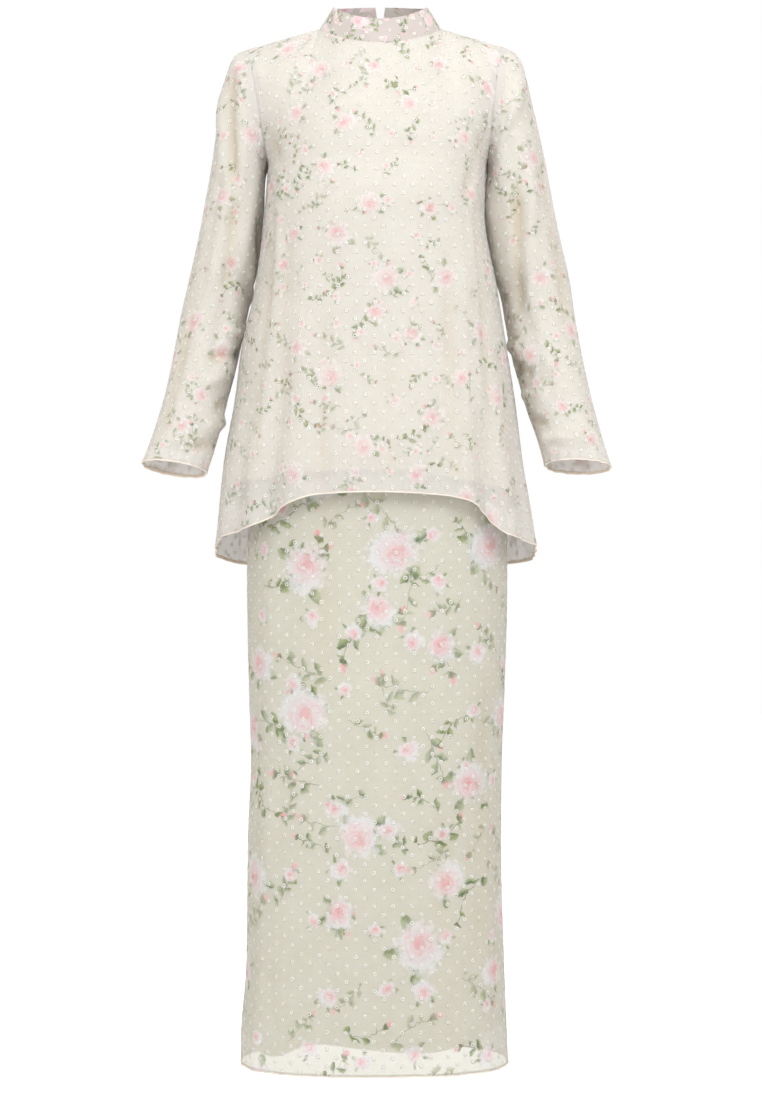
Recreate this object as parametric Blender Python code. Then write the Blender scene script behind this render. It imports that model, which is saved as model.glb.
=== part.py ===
"""A blouse and skirt set in its worn shape: sheer cloth over a cream lining, every piece a thin closed wall.

X runs to the viewer's right, the front faces -Y and Z is up. The origin is the middle of the collar's
base, where the neck and shoulders hold the set up. The tables are in millimetres and degrees. A turn goes
round a section from the right side seam (0) by the back (90) and the left (180) to the front (270).
"""

import math
from collections import namedtuple

import bpy
import numpy as np

MM = 0.001

# Walls and the space that each seam keeps
CLOTH = 1.2 * MM
LINING = 1.0 * MM
COLLAR_WALL = 1.8 * MM
WAISTBAND_WALL = 3.0 * MM
SEAM = 0.3 * MM

# How many cells each panel has
BLOUSE_COLUMNS = 26
SHOULDER_COLUMNS = 6
YOKE_ROWS = 8
BODY_ROWS = 11
SKIRT_COLUMNS = 20
SKIRT_ROWS = 12
SLEEVE_SIDES = 18
SLEEVE_RINGS = 18
LINING_STEP = 2
SLEEVE_LINING_RINGS = 9
WAISTBAND_SIDES = 28

# Level sections of the body and of the skirt, from the top down
Section = namedtuple("Section", "height left right front back seam power")
BLOUSE = [
    Section(-166, 147, 137.5, 118, 101, 10, 2.35),
    Section(-230, 152, 135.5, 128, 106, 9, 2.35),
    Section(-330, 165, 152, 128, 109, 7, 2.30),
    Section(-400, 181, 163, 130, 114, 5, 2.20),
    Section(-470, 190, 174, 133, 120, 3, 2.15),
    Section(-550, 204, 184, 137, 129, 1, 2.10),
    Section(-630, 212, 196, 141, 137, 0, 2.05),
    Section(-710, 218, 207, 145, 144, 0, 2.00),
]
SKIRT = [
    Section(-400, 126, 122, 92, 92, 0, 2.10),
    Section(-450, 143, 138, 105, 105, 0, 2.15),
    Section(-520, 162, 154, 115, 115, 0, 2.20),
    Section(-600, 172, 163, 119, 119, 0, 2.25),
    Section(-704, 174, 164, 119, 119, 0, 2.25),
    Section(-861, 171, 160, 119, 118, 0, 2.25),
    Section(-939, 169, 157, 118, 117, 0, 2.25),
    Section(-1043, 173, 156, 118, 117, 0, 2.25),
    Section(-1199, 175, 160, 118, 118, 0, 2.30),
    Section(-1303, 182, 164, 119, 119, 0, 2.45),
    Section(-1329, 182, 165, 119, 119, 0, 2.45),
]

# Soft upright folds: each grows from its top height to its full depth and stands out of the section
Fold = namedtuple("Fold", "turn spread depth top full")
BLOUSE_FOLDS = [
    Fold(20, 8, 8, -420, -640),
    Fold(43, 9, 11, -360, -620),
    Fold(68, 8, 8, -430, -640),
    Fold(95, 9, 12, -320, -620),
    Fold(121, 8, 8, -400, -640),
    Fold(143, 9, 12, -360, -620),
    Fold(165, 7, 8, -430, -640),
    Fold(205, 8, 9, -400, -620),
    Fold(222, 6, 11, -360, -600),
    Fold(230, 4, -5, -420, -600),
    Fold(240, 6, 9, -320, -590),
    Fold(259, 8, 5, -400, -580),
    Fold(284, 8, 5, -360, -580),
    Fold(305, 6, 9, -380, -590),
    Fold(315, 4, -5, -430, -600),
    Fold(325, 7, 12, -360, -620),
    Fold(343, 7, 7, -430, -640),
]
SKIRT_FOLDS = [
    Fold(60, 10, 4, -640, -1200),
    Fold(105, 12, 5, -600, -1250),
    Fold(135, 9, 4, -700, -1300),
    Fold(214, 7, 4, -620, -1250),
    Fold(236, 9, 3, -700, -1300),
    Fold(262, 10, 3, -900, -1320),
    Fold(298, 10, 3, -800, -1300),
    Fold(325, 7, 3, -700, -1280),
]

# Hems: the height of the cloth's edge at each turn
Hem = namedtuple("Hem", "turn height")
BLOUSE_HEM = [
    Hem(0, -668),
    Hem(30, -683),
    Hem(90, -692),
    Hem(150, -683),
    Hem(180, -663),
    Hem(208, -646),
    Hem(222, -636),
    Hem(230, -625),
    Hem(238, -609),
    Hem(250, -596),
    Hem(270, -593),
    Hem(295, -597),
    Hem(304, -603),
    Hem(311, -614),
    Hem(316, -630),
    Hem(322, -646),
    Hem(332, -652),
    Hem(345, -660),
    Hem(360, -668),
]
BLOUSE_LINING_HEM = [
    Hem(0, -600),
    Hem(90, -640),
    Hem(180, -590),
    Hem(230, -571),
    Hem(270, -563),
    Hem(315, -580),
    Hem(360, -600),
]
SKIRT_HEM = [Hem(0, -1329), Hem(360, -1329)]
SKIRT_LINING_HEM = [
    Hem(0, -1280),
    Hem(90, -1286),
    Hem(180, -1286),
    Hem(225, -1308),
    Hem(250, -1288),
    Hem(285, -1300),
    Hem(315, -1288),
    Hem(345, -1274),
    Hem(360, -1280),
]

# Rings of a sleeve from armhole to wrist: its outer and inner edge seen from the front, its front and
# back edge seen from the side, and how far the back edge hangs below the front one
Ring = namedtuple("Ring", "outer_x outer_z inner_x inner_z front back drop")
LEFT_SLEEVE = [
    Ring(-171.6, -13.5, -147, -166, -46, 66, 0),
    Ring(-190, -22, -149.5, -171, -48, 66, 0),
    Ring(-203, -54, -152, -181, -49, 66, 0),
    Ring(-210.5, -91, -154.5, -196, -49, 66, 0),
    Ring(-219.5, -158, -157, -222, -46, 66, 0),
    Ring(-229, -210, -160, -250, -42, 68, 0),
    Ring(-239, -262, -163, -290, -38, 68, 1),
    Ring(-251, -314, -169.5, -333, -34, 68, 2),
    Ring(-262.5, -366, -178, -378, -36, 62, 5),
    Ring(-271.5, -418, -188, -428, -43, 51, 8),
    Ring(-282, -470, -200, -478, -52, 37, 11),
    Ring(-296.5, -522, -213, -528, -62, 21, 14),
    Ring(-308, -555, -225, -567, -70, 9, 17),
]
RIGHT_SLEEVE = [
    Ring(155, -9.5, 137.5, -166, -46, 66, 0),
    Ring(175, -19, 139.5, -171, -48, 66, 0),
    Ring(189.5, -54, 140.5, -181, -49, 66, 0),
    Ring(197, -91, 140, -198, -49, 66, 0),
    Ring(210.5, -158, 140.5, -224, -46, 66, 0),
    Ring(221, -210, 144, -252, -42, 68, 0),
    Ring(232.5, -262, 149.5, -290, -38, 68, 1),
    Ring(244.5, -314, 156, -333, -34, 68, 2),
    Ring(253.5, -366, 163.5, -378, -36, 62, 5),
    Ring(262.5, -418, 173, -427, -43, 51, 8),
    Ring(273, -470, 187, -478, -52, 37, 11),
    Ring(286, -522, 202, -522, -62, 21, 14),
    Ring(296.5, -560, 212, -557, -70, 9, 17),
]
SLEEVE_POWER = 2.1
SLEEVE_LINING_END = 0.935

# Soft creases of the sleeves: place along the sleeve and round it, how far each reaches, and its depth
Crease = namedtuple("Crease", "along turn reach spread depth")
LEFT_CREASES = [
    Crease(0.22, 300, 0.16, 14, -5),
    Crease(0.48, 200, 0.05, 40, -4),
    Crease(0.60, 250, 0.10, 16, -5),
    Crease(0.78, 215, 0.05, 34, -3),
    Crease(0.55, 60, 0.14, 16, -5),
    Crease(0.85, 80, 0.07, 18, -4),
]
RIGHT_CREASES = [
    Crease(0.12, 262, 0.07, 20, -5),
    Crease(0.50, 205, 0.05, 38, -5),
    Crease(0.62, 245, 0.09, 16, -4),
    Crease(0.76, 210, 0.05, 32, -4),
    Crease(0.52, 70, 0.14, 16, -5),
    Crease(0.88, 95, 0.07, 18, -4),
]

# Neck and collar
NECK_X = -1.0 * MM
NECK_HALF_WIDTH = 79 * MM
NECK_SIDE_Y = 4 * MM
NECK_FRONT_Y = -65 * MM
NECK_BACK_Y = 58 * MM
NECK_FRONT_Z = -17 * MM
NECK_SIDE_Z = 12 * MM
NECK_BACK_Z = 16 * MM
COLLAR_TOP_FRONT_Z = 15 * MM
COLLAR_TOP_SIDE_Z = 40 * MM
COLLAR_TOP_BACK_Z = 49 * MM
COLLAR_TOP_SCALE = 0.78
COLLAR_TOP_DEPTH_SCALE = 0.86
COLLAR_ROWS = 2
COLLAR_GAP_LOW = 2.4 * MM
COLLAR_GAP_HIGH = 13 * MM

# Opening at the back of the neck
SLIT_BOTTOM_ROW = 4
SLIT_HALF_LOW = 0.5 * MM
SLIT_HALF_HIGH = 1.2 * MM

# How far the lining hangs inside the cloth at a seam, at the bust and at its hem
LINING_SEAM_SPACE = 1.2 * MM
LINING_BODY_SPACE = 4.2 * MM
LINING_ARMHOLE_SPACE = 3.0 * MM
LINING_HEM_SPACE = 7.0 * MM
SLEEVE_LINING_SPACE = 3.5 * MM
SKIRT_LINING_SPACE = 2.5 * MM

WAISTBAND_HEIGHT = 35 * MM
BUTTON_RADIUS = 4.6 * MM
BUTTON_HALF_DEPTH = 2.4 * MM
BUTTON_SHIFT = 6.4 * MM
FASTENING_RISE = 0.3
LOOP_RADIUS = 0.7 * MM
LOOP_TAIL = 5.5 * MM

CLOTH_COLOUR = (0.84, 0.80, 0.66)
LINING_COLOUR = (0.80, 0.74, 0.58)
TRIM_COLOUR = (0.78, 0.70, 0.60)


def column(table, name):
    return np.array([getattr(row, name) for row in table], float)


def smooth_curve(stations, values, at):
    """A smooth curve through the values that never overshoots them."""
    at = np.clip(at, stations[0], stations[-1])
    step = np.diff(stations)
    rise = np.diff(values) / step
    slope = np.zeros(len(values))
    slope[0], slope[-1] = rise[0], rise[-1]
    same_way = rise[1:] * rise[:-1] > 0
    total = rise[1:] + rise[:-1]
    slope[1:-1] = np.where(same_way, 2 * rise[1:] * rise[:-1] / np.where(same_way, total, 1), 0)
    i = np.clip(np.searchsorted(stations, at) - 1, 0, len(step) - 1)
    t = (at - stations[i]) / step[i]
    return (
        values[i] * (1 + 2 * t) * (1 - t) ** 2
        + slope[i] * step[i] * t * (1 - t) ** 2
        + values[i + 1] * t * t * (3 - 2 * t)
        + slope[i + 1] * step[i] * t * t * (t - 1)
    )


def ease(value):
    value = np.clip(value, 0, 1)
    return value * value * (3 - 2 * value)


def bend(value, power):
    """Cosine or sine of a superellipse's turn."""
    return np.sign(value) * np.abs(value) ** (2 / power)


def hem_height(table, turn):
    return smooth_curve(column(table, "turn"), column(table, "height"), turn) * MM


def section_point(sections, folds, turn, height):
    """The point at a turn, in degrees, of the level section at a height, in metres."""
    heights = -column(sections, "height") * MM
    left, right, front, back, seam = (
        smooth_curve(heights, column(sections, name) * MM, -height)
        for name in ("left", "right", "front", "back", "seam")
    )
    power = smooth_curve(heights, column(sections, "power"), -height)
    angle = np.radians(turn)
    cosine, sine = np.cos(angle), np.sin(angle)
    middle, half = (right - left) / 2, (right + left) / 2
    depth = np.where(sine > 0, back - seam, front + seam)
    x = middle + half * bend(cosine, power)
    y = seam + depth * bend(sine, power)
    out = np.hypot(cosine / half, sine / depth)
    for fold in folds:
        away = (turn - fold.turn + 180) % 360 - 180
        grown = ease((fold.top * MM - height) / ((fold.top - fold.full) * MM))
        lift = fold.depth * MM * np.exp(-((away / fold.spread) ** 2)) * grown
        x = x + lift * cosine / half / out
        y = y + lift * sine / depth / out
    return np.stack([x, y, np.broadcast_to(height, x.shape)], axis=-1)


def even_turns(sections, height, start, stop, share):
    """Turns that lie at even lengths along a section between two of its turns."""
    fine = np.linspace(start, stop, 721)
    points = section_point(sections, [], fine, np.full(fine.shape, height))
    length = np.append(0, np.cumsum(np.linalg.norm(np.diff(points, axis=0), axis=1)))
    return np.interp(share, length / length[-1], fine)


def sleeve_stations(rings):
    """How far along the sleeve each ring's middle lies, from 0 at the armhole to 1 at the wrist."""
    middle = np.stack(
        [
            (column(rings, "outer_x") + column(rings, "inner_x")) / 2,
            (column(rings, "front") + column(rings, "back")) / 2,
            (column(rings, "outer_z") + column(rings, "inner_z")) / 2,
        ],
        axis=1,
    )
    length = np.append(0, np.cumsum(np.linalg.norm(np.diff(middle, axis=0), axis=1)))
    return length / length[-1]


def sleeve_point(rings, creases, along, turn):
    """A point of a sleeve; turn 0 is its outer edge, 90 its back, 180 its inner edge, 270 its front."""
    stations = sleeve_stations(rings)
    outer_x, outer_z, inner_x, inner_z, front, back, drop = (
        smooth_curve(stations, column(rings, name) * MM, along) for name in Ring._fields
    )
    angle = np.radians(turn)
    cosine, sine = bend(np.cos(angle), SLEEVE_POWER), bend(np.sin(angle), SLEEVE_POWER)
    shrink = np.ones(np.broadcast(along, turn).shape)
    half_width = np.hypot(outer_x - inner_x, outer_z - inner_z) / 2
    for crease in creases:
        away = (turn - crease.turn + 180) % 360 - 180
        near = np.exp(-((away / crease.spread) ** 2) - ((along - crease.along) / crease.reach) ** 2)
        shrink = shrink + crease.depth * MM * near / half_width
    x = (outer_x + inner_x) / 2 + (outer_x - inner_x) / 2 * cosine * shrink
    y = (front + back) / 2 + (back - front) / 2 * sine * shrink
    z = (outer_z + inner_z) / 2 + (outer_z - inner_z) / 2 * cosine * shrink - drop / 2 * sine
    return np.stack([x, y, z], axis=-1)


def armhole(rings, turn):
    """A point of the armhole, the way from it to the armhole's middle, and the way out to the sleeve."""
    ring = rings[0]
    point = sleeve_point(rings, [], np.zeros(turn.shape), turn)
    middle = np.array(
        [ring.outer_x + ring.inner_x, ring.front + ring.back, ring.outer_z + ring.inner_z]
    ) * (MM / 2)
    inward = unit(middle - point)
    rise = np.array([ring.outer_x - ring.inner_x, 0, ring.outer_z - ring.inner_z])
    outward = unit(np.cross(rise, [0, 1, 0]))
    if outward[0] * ring.outer_x < 0:
        outward = -outward
    return point, inward, outward


def unit(vectors):
    return vectors / np.linalg.norm(vectors, axis=-1, keepdims=True)


def neck_point(turn, rise=0.0):
    """The neckline at a turn, lifted by a share of the collar's height."""
    angle = np.radians(turn)
    cosine, sine = np.cos(angle), np.sin(angle)
    width = NECK_HALF_WIDTH * (1 + (COLLAR_TOP_SCALE - 1) * rise)
    reach = np.where(sine > 0, NECK_BACK_Y - NECK_SIDE_Y, NECK_SIDE_Y - NECK_FRONT_Y)
    reach = reach * (1 + (COLLAR_TOP_DEPTH_SCALE - 1) * rise)
    low_end = np.where(sine > 0, NECK_BACK_Z, NECK_FRONT_Z)
    high_end = np.where(sine > 0, COLLAR_TOP_BACK_Z, COLLAR_TOP_FRONT_Z)
    share = np.abs(sine) ** 1.5
    low = NECK_SIDE_Z + (low_end - NECK_SIDE_Z) * share
    high = COLLAR_TOP_SIDE_Z + (high_end - COLLAR_TOP_SIDE_Z) * share
    return np.stack(
        [NECK_X + width * cosine, NECK_SIDE_Y + reach * sine, low + (high - low) * rise], axis=-1
    )


def outward_normals(grid, closed):
    if closed:
        across = np.roll(grid, -1, axis=1) - np.roll(grid, 1, axis=1)
    else:
        across = np.gradient(grid, axis=1)
    normal = unit(np.cross(across, np.gradient(grid, axis=0)))
    if (normal * (grid - grid.mean(axis=(0, 1)))).sum() < 0:
        normal = -normal
    return normal


def material(name, colour, roughness):
    made = bpy.data.materials.new(name)
    made.use_nodes = True
    shader = made.node_tree.nodes["Principled BSDF"]
    shader.inputs["Base Color"].default_value = (*colour, 1)
    shader.inputs["Roughness"].default_value = roughness
    shader.inputs["Metallic"].default_value = 0
    return made


def add_object(name, points, faces, finish):
    mesh = bpy.data.meshes.new(name)
    mesh.from_pydata([tuple(point) for point in points], [], faces)
    mesh.shade_smooth()
    mesh.set_sharp_from_angle(angle=math.radians(50))
    mesh.materials.append(finish)
    made = bpy.data.objects.new(name, mesh)
    bpy.context.scene.collection.objects.link(made)
    return made


def volume(points, faces):
    corners = points[np.array(faces)]
    return (corners[:, 0] * np.cross(corners[:, 1], corners[:, 2])).sum() / 6


def wall(name, outer, inward, thickness, finish, closed=False, missing=()):
    """A closed wall: the outer grid of points, the same grid moved inward, and rims between them.

    missing names cells, as (row, column), that stay open through the wall.
    """
    rows, columns = outer.shape[:2]
    inner = outer + inward * thickness
    points = np.concatenate([outer.reshape(-1, 3), inner.reshape(-1, 3)])
    half = rows * columns
    skin = []
    for row in range(rows - 1):
        for cell in range(columns if closed else columns - 1):
            if (row, cell) in missing:
                continue
            following = (cell + 1) % columns
            a, b = row * columns + cell, row * columns + following
            c, d = b + columns, a + columns
            if np.linalg.norm(points[a] - points[c]) < np.linalg.norm(points[b] - points[d]):
                skin += [(a, b, c), (a, c, d)]
            else:
                skin += [(a, b, d), (b, c, d)]
    edges = {(face[i], face[(i + 1) % 3]) for face in skin for i in range(3)}
    faces = skin + [(a + half, c + half, b + half) for a, b, c in skin]
    for a, b in sorted(edges):
        if (b, a) not in edges:
            faces += [(b, a, a + half), (b, a + half, b + half)]
    if volume(points, faces) < 0:
        faces = [face[::-1] for face in faces]
    used = sorted({corner for face in faces for corner in face})
    place = {corner: i for i, corner in enumerate(used)}
    return add_object(name, points[used], [tuple(place[i] for i in face) for face in faces], finish)


def blouse_turn(side, across):
    stop = 360 if side < 0 else 0
    return even_turns(BLOUSE, -0.35, 180, stop, across)


def blouse_top(side, across):
    """The top edge of a body panel: shoulder seam, neckline, shoulder seam."""
    neck_share = SHOULDER_COLUMNS / BLOUSE_COLUMNS
    round_neck = np.clip((across - neck_share) / (1 - 2 * neck_share), 0, 1)
    turn = 180 + 180 * round_neck if side < 0 else 180 - 180 * round_neck
    top = neck_point(turn)
    for rings, share in ((LEFT_SLEEVE, across), (RIGHT_SLEEVE, 1 - across)):
        tip = armhole(rings, np.zeros(1))[0][0]
        neck_end = neck_point(np.full(1, 180.0 if rings is LEFT_SLEEVE else 0.0))[0]
        run = np.clip(share / neck_share, 0, 1)[..., None]
        seam = tip + (neck_end - tip) * run
        top = np.where(run < 1, seam, top)
    return top


def yoke_point(side, across, rise):
    """The panel between the underarm (rise 0) and the shoulder seam and neckline (rise 1)."""
    low = section_point(BLOUSE, [], blouse_turn(side, across), np.full(across.shape, UNDERARM))
    top = blouse_top(side, across)
    arch = 1 - (1 - rise**2) ** 0.5
    slope = rise ** (1.8 if side < 0 else 2.4)
    neck_share = SHOULDER_COLUMNS / BLOUSE_COLUMNS
    from_arm = np.minimum(across, 1 - across)
    shoulder = ease((1.5 * neck_share - from_arm) / neck_share)
    back_off = shoulder * arch + (1 - shoulder) * slope
    level = low + (top - low) * rise[..., None]
    level[..., 1] = low[..., 1] + (top[..., 1] - low[..., 1]) * back_off
    for rings, share in ((LEFT_SLEEVE, across), (RIGHT_SLEEVE, 1 - across)):
        turn = 180 - 180 * rise if side > 0 else 180 + 180 * rise
        edge = armhole(rings, turn)[0]
        low_end, top_end = armhole(rings, np.array([180.0, 0.0]))[0]
        plain = low_end + (top_end - low_end) * rise[..., None]
        plain[..., 1] = low_end[1] + (top_end[1] - low_end[1]) * arch
        near = np.clip(1 - share / (1.3 * neck_share), 0, 1) ** 1.7
        level = level + near[..., None] * (edge - plain)
    return level


UNDERARM = LEFT_SLEEVE[0].inner_z * MM


def blouse_grid(side, across, body_rows, yoke_rows, hem, folds, lining=False):
    """Points and inward ways of a body panel, from its hem up; side is -1 in front, 1 at the back."""
    turn = blouse_turn(side, across)
    share = np.linspace(0, 1, body_rows + 1)[:-1, None]
    bottom = hem_height(hem, turn)
    height = bottom + (UNDERARM - bottom) * share
    turns = np.broadcast_to(turn, height.shape)
    body = section_point(BLOUSE, folds, turns, height)
    rise = np.linspace(0, 1, yoke_rows + 1)[:, None] * np.ones(across.shape)
    yoke = yoke_point(side, np.broadcast_to(across, rise.shape), rise)
    grid = np.concatenate([body, yoke])
    inward = -outward_normals(grid, False)
    inward[:, [0, -1], 1] = 0
    for end, rings in ((0, LEFT_SLEEVE), (-1, RIGHT_SLEEVE)):
        edge_turn = 180 - 180 * rise[:, 0] if side > 0 else 180 + 180 * rise[:, 0]
        point, to_middle, out = armhole(rings, edge_turn)
        if lining:
            grid[body_rows:, end] -= out * LINING_ARMHOLE_SPACE
        else:
            inward[body_rows:, end] = to_middle
            grid[body_rows:, end] = point - out * SEAM / 2
    on_shoulder = np.minimum(across, 1 - across) <= SHOULDER_COLUMNS / BLOUSE_COLUMNS + 1e-6
    inward[-1, on_shoulder, 1] = 0
    grid[-1, on_shoulder, 1] += side * SEAM / 2
    grid[: body_rows + 1, [0, -1], 1] += side * SEAM / 2
    return grid, unit(inward)


def lining_space(rows, yoke_rows, columns):
    """How far a lining hangs inside the cloth: close at the seams, free below them."""
    body_rows = rows - yoke_rows - 1
    up = np.arange(rows)[:, None]
    across = np.arange(columns)[None, :]
    below = np.clip((body_rows - up) / body_rows, 0, 1)
    body = LINING_BODY_SPACE + (LINING_HEM_SPACE - LINING_BODY_SPACE) * below**1.5
    at_top = (up == rows - 1) & (across > 0) & (across < columns - 1)
    return np.where(at_top, LINING_SEAM_SPACE, body)[..., None]


def build_blouse(cloth, lining):
    columns = np.arange(BLOUSE_COLUMNS + 1) / BLOUSE_COLUMNS
    grid, inward = blouse_grid(-1, columns, BODY_ROWS, YOKE_ROWS, BLOUSE_HEM, BLOUSE_FOLDS)
    wall("blouse_front", grid, inward, CLOTH, cloth)

    middle = BLOUSE_COLUMNS // 2
    halves = np.insert(columns, middle, 0.5)
    grid, inward = blouse_grid(1, halves, BODY_ROWS, YOKE_ROWS, BLOUSE_HEM, BLOUSE_FOLDS)
    bottom = BODY_ROWS + SLIT_BOTTOM_ROW
    top = BODY_ROWS + YOKE_ROWS
    for row in range(top + 1):
        if row < bottom:
            spread = (1 - row / bottom) ** 1.2
            half = SLIT_HALF_LOW + (columns[1] * 0.15) * spread
        else:
            half = SLIT_HALF_LOW + (SLIT_HALF_HIGH - SLIT_HALF_LOW) * (row - bottom) / (top - bottom)
        grid[row, middle, 0] -= half
        grid[row, middle + 1, 0] += half
    inward[:, middle + 1] = inward[:, middle]
    slit = {(row, middle) for row in range(bottom, top)}
    wall("blouse_back", grid, inward, CLOTH, cloth, missing=slit)

    coarse = columns[::LINING_STEP]
    yoke_rows, body_rows = YOKE_ROWS // LINING_STEP, BODY_ROWS // LINING_STEP
    for side, name in ((-1, "blouse_lining_front"), (1, "blouse_lining_back")):
        grid, inward = blouse_grid(side, coarse, body_rows, yoke_rows, BLOUSE_LINING_HEM, [], lining=True)
        space = lining_space(len(grid), yoke_rows, len(coarse))
        wall(name, grid + inward * (CLOTH + space), inward, LINING, lining)


def build_sleeve(side_name, rings, creases, cloth, lining):
    out = armhole(rings, np.zeros(1))[2]

    def tube(name, sides, ring_count, end, space, thickness, finish, folds):
        turn = np.arange(sides) * 360 / sides
        along = np.linspace(0, 1, ring_count + 1)[:, None] ** 1.25 * end
        grid = sleeve_point(rings, folds, along, np.broadcast_to(turn, (ring_count + 1, sides)))
        inward = -outward_normals(grid, True)
        inward[0] = armhole(rings, turn)[1]
        grid[0] += out * SEAM / 2
        grid = grid + inward * space(along)[..., None]
        wall(name, grid, inward, thickness, finish, closed=True)

    tube(
        "sleeve_" + side_name,
        SLEEVE_SIDES,
        SLEEVE_RINGS,
        1,
        lambda along: 0 * along,
        CLOTH,
        cloth,
        creases,
    )
    tube(
        "sleeve_lining_" + side_name,
        SLEEVE_SIDES,
        SLEEVE_LINING_RINGS,
        SLEEVE_LINING_END,
        lambda along: CLOTH + np.where(along > 0, SLEEVE_LINING_SPACE, LINING_SEAM_SPACE),
        LINING,
        lining,
        creases,
    )


def build_collar(cloth):
    """A band round the neck, open at the middle of the back, where its ends lean apart."""
    neck_cells = BLOUSE_COLUMNS - 2 * SHOULDER_COLUMNS
    turn = 90 + np.arange(2 * neck_cells + 1) * 180 / neck_cells
    rows = []
    for row in range(COLLAR_ROWS + 1):
        rise = row / COLLAR_ROWS
        ring = neck_point(turn, rise)
        ring[:, 2] += SEAM
        half = (COLLAR_GAP_LOW + (COLLAR_GAP_HIGH - COLLAR_GAP_LOW) * rise) / 2
        ring[0, 0] = NECK_X - half
        ring[-1, 0] = NECK_X + half
        rows.append(ring)
    grid = np.array(rows)
    inward = -outward_normals(grid, False)
    inward[..., 2] = 0
    wall("collar", grid, unit(inward), COLLAR_WALL, cloth)


def build_neck_fastening(trim):
    """A small covered button on one end of the collar and a thread loop on the other end."""
    low, high = (neck_point(np.array([90.0]), rise)[0] for rise in (0.0, 1.0))
    across = np.array([1.0, 0.0, 0.0])
    up = unit(high - low)
    off = unit(np.cross(up, across))
    seat = low + (high - low) * FASTENING_RISE + off * SEAM
    middle = seat + across * BUTTON_SHIFT + off * BUTTON_HALF_DEPTH
    sides, rings = 12, 5
    points = [middle - off * BUTTON_HALF_DEPTH]
    for ring in range(1, rings):
        lift = math.pi * ring / rings
        radius = BUTTON_RADIUS * math.sin(lift) ** 0.7
        for side in range(sides):
            angle = 2 * math.pi * side / sides
            around = across * math.cos(angle) + up * math.sin(angle)
            points.append(middle + around * radius - off * BUTTON_HALF_DEPTH * math.cos(lift))
    points.append(middle + off * BUTTON_HALF_DEPTH)
    faces = []
    for side in range(sides):
        following = (side + 1) % sides
        faces.append((0, 1 + following, 1 + side))
        for ring in range(rings - 2):
            a, b = 1 + ring * sides + side, 1 + ring * sides + following
            faces += [(a, b, b + sides), (a, b + sides, a + sides)]
        last = 1 + (rings - 2) * sides
        faces.append((len(points) - 1, last + side, last + following))
    if volume(np.array(points), faces) < 0:
        faces = [face[::-1] for face in faces]
    add_object("neck_button", points, faces, trim)

    reach = BUTTON_RADIUS + LOOP_RADIUS + SEAM
    bend_centre = seat + across * BUTTON_SHIFT + off * LOOP_RADIUS
    turns = np.radians(np.linspace(100, -100, 13))
    path = [bend_centre + (across * math.cos(t) + up * math.sin(t)) * reach for t in turns]
    path = [path[0] - across * LOOP_TAIL] + path + [path[-1] - across * LOOP_TAIL]
    add_object("neck_loop", *round_cord(path, off, LOOP_RADIUS, 6), trim)


def round_cord(path, level, radius, sides):
    """Points and faces of a cord with flat ends that follows a path; level is square to the whole path."""
    path = np.array(path)
    along = unit(np.gradient(path, axis=0))
    points, faces = [], []
    for place, way in zip(path, along):
        across = unit(np.cross(way, level))
        for side in range(sides):
            angle = 2 * math.pi * side / sides
            points.append(place + radius * (math.cos(angle) * across + math.sin(angle) * level))
    for ring in range(len(path) - 1):
        for side in range(sides):
            following = (side + 1) % sides
            a, b = ring * sides + side, ring * sides + following
            faces += [(a, b, b + sides), (a, b + sides, a + sides)]
    last = (len(path) - 1) * sides
    for side in range(1, sides - 1):
        faces += [(0, side + 1, side), (last, last + side, last + side + 1)]
    if volume(np.array(points), faces) < 0:
        faces = [face[::-1] for face in faces]
    return points, faces


def skirt_grid(side, across, rows, hem, folds):
    stop = 360 if side < 0 else 0
    turn = even_turns(SKIRT, -1.0, 180, stop, across)
    top = SKIRT[0].height * MM - SEAM
    bottom = hem_height(hem, turn)
    height = bottom + (top - bottom) * np.linspace(0, 1, rows + 1)[:, None]
    grid = section_point(SKIRT, folds, np.broadcast_to(turn, height.shape), height)
    inward = -outward_normals(grid, False)
    inward[:, [0, -1], 1] = 0
    grid[:, [0, -1], 1] += side * SEAM / 2
    return grid, unit(inward)


def build_skirt(cloth, lining, trim):
    columns = np.arange(SKIRT_COLUMNS + 1) / SKIRT_COLUMNS
    for side, name in ((-1, "front"), (1, "back")):
        grid, inward = skirt_grid(side, columns, SKIRT_ROWS, SKIRT_HEM, SKIRT_FOLDS)
        wall("skirt_" + name, grid, inward, CLOTH, cloth)
        coarse = columns[::LINING_STEP]
        grid, inward = skirt_grid(side, coarse, SKIRT_ROWS // LINING_STEP, SKIRT_LINING_HEM, [])
        down = 1 - np.arange(len(grid)) / (len(grid) - 1)
        space = CLOTH + SEAM + (SKIRT_LINING_SPACE - SEAM) * ease(down * 4)
        wall("skirt_lining_" + name, grid + inward * space[:, None, None], inward, LINING, lining)

    turn = np.arange(WAISTBAND_SIDES) * 360 / WAISTBAND_SIDES
    low = section_point(SKIRT, [], turn, np.full(turn.shape, SKIRT[0].height * MM))
    grid = np.array([low, low + [0, 0, WAISTBAND_HEIGHT]])
    wall("skirt_waistband", grid, -outward_normals(grid, True), WAISTBAND_WALL, trim, closed=True)


for old in list(bpy.data.objects):
    bpy.data.objects.remove(old, do_unlink=True)
CLOTH_FINISH = material("dotted_chiffon", CLOTH_COLOUR, 0.7)
LINING_FINISH = material("cream_lining", LINING_COLOUR, 0.5)
TRIM_FINISH = material("covered_trim", TRIM_COLOUR, 0.6)
build_blouse(CLOTH_FINISH, LINING_FINISH)
build_sleeve("left", LEFT_SLEEVE, LEFT_CREASES, CLOTH_FINISH, LINING_FINISH)
build_sleeve("right", RIGHT_SLEEVE, RIGHT_CREASES, CLOTH_FINISH, LINING_FINISH)
build_collar(CLOTH_FINISH)
build_neck_fastening(TRIM_FINISH)
build_skirt(CLOTH_FINISH, LINING_FINISH, TRIM_FINISH)
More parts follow.
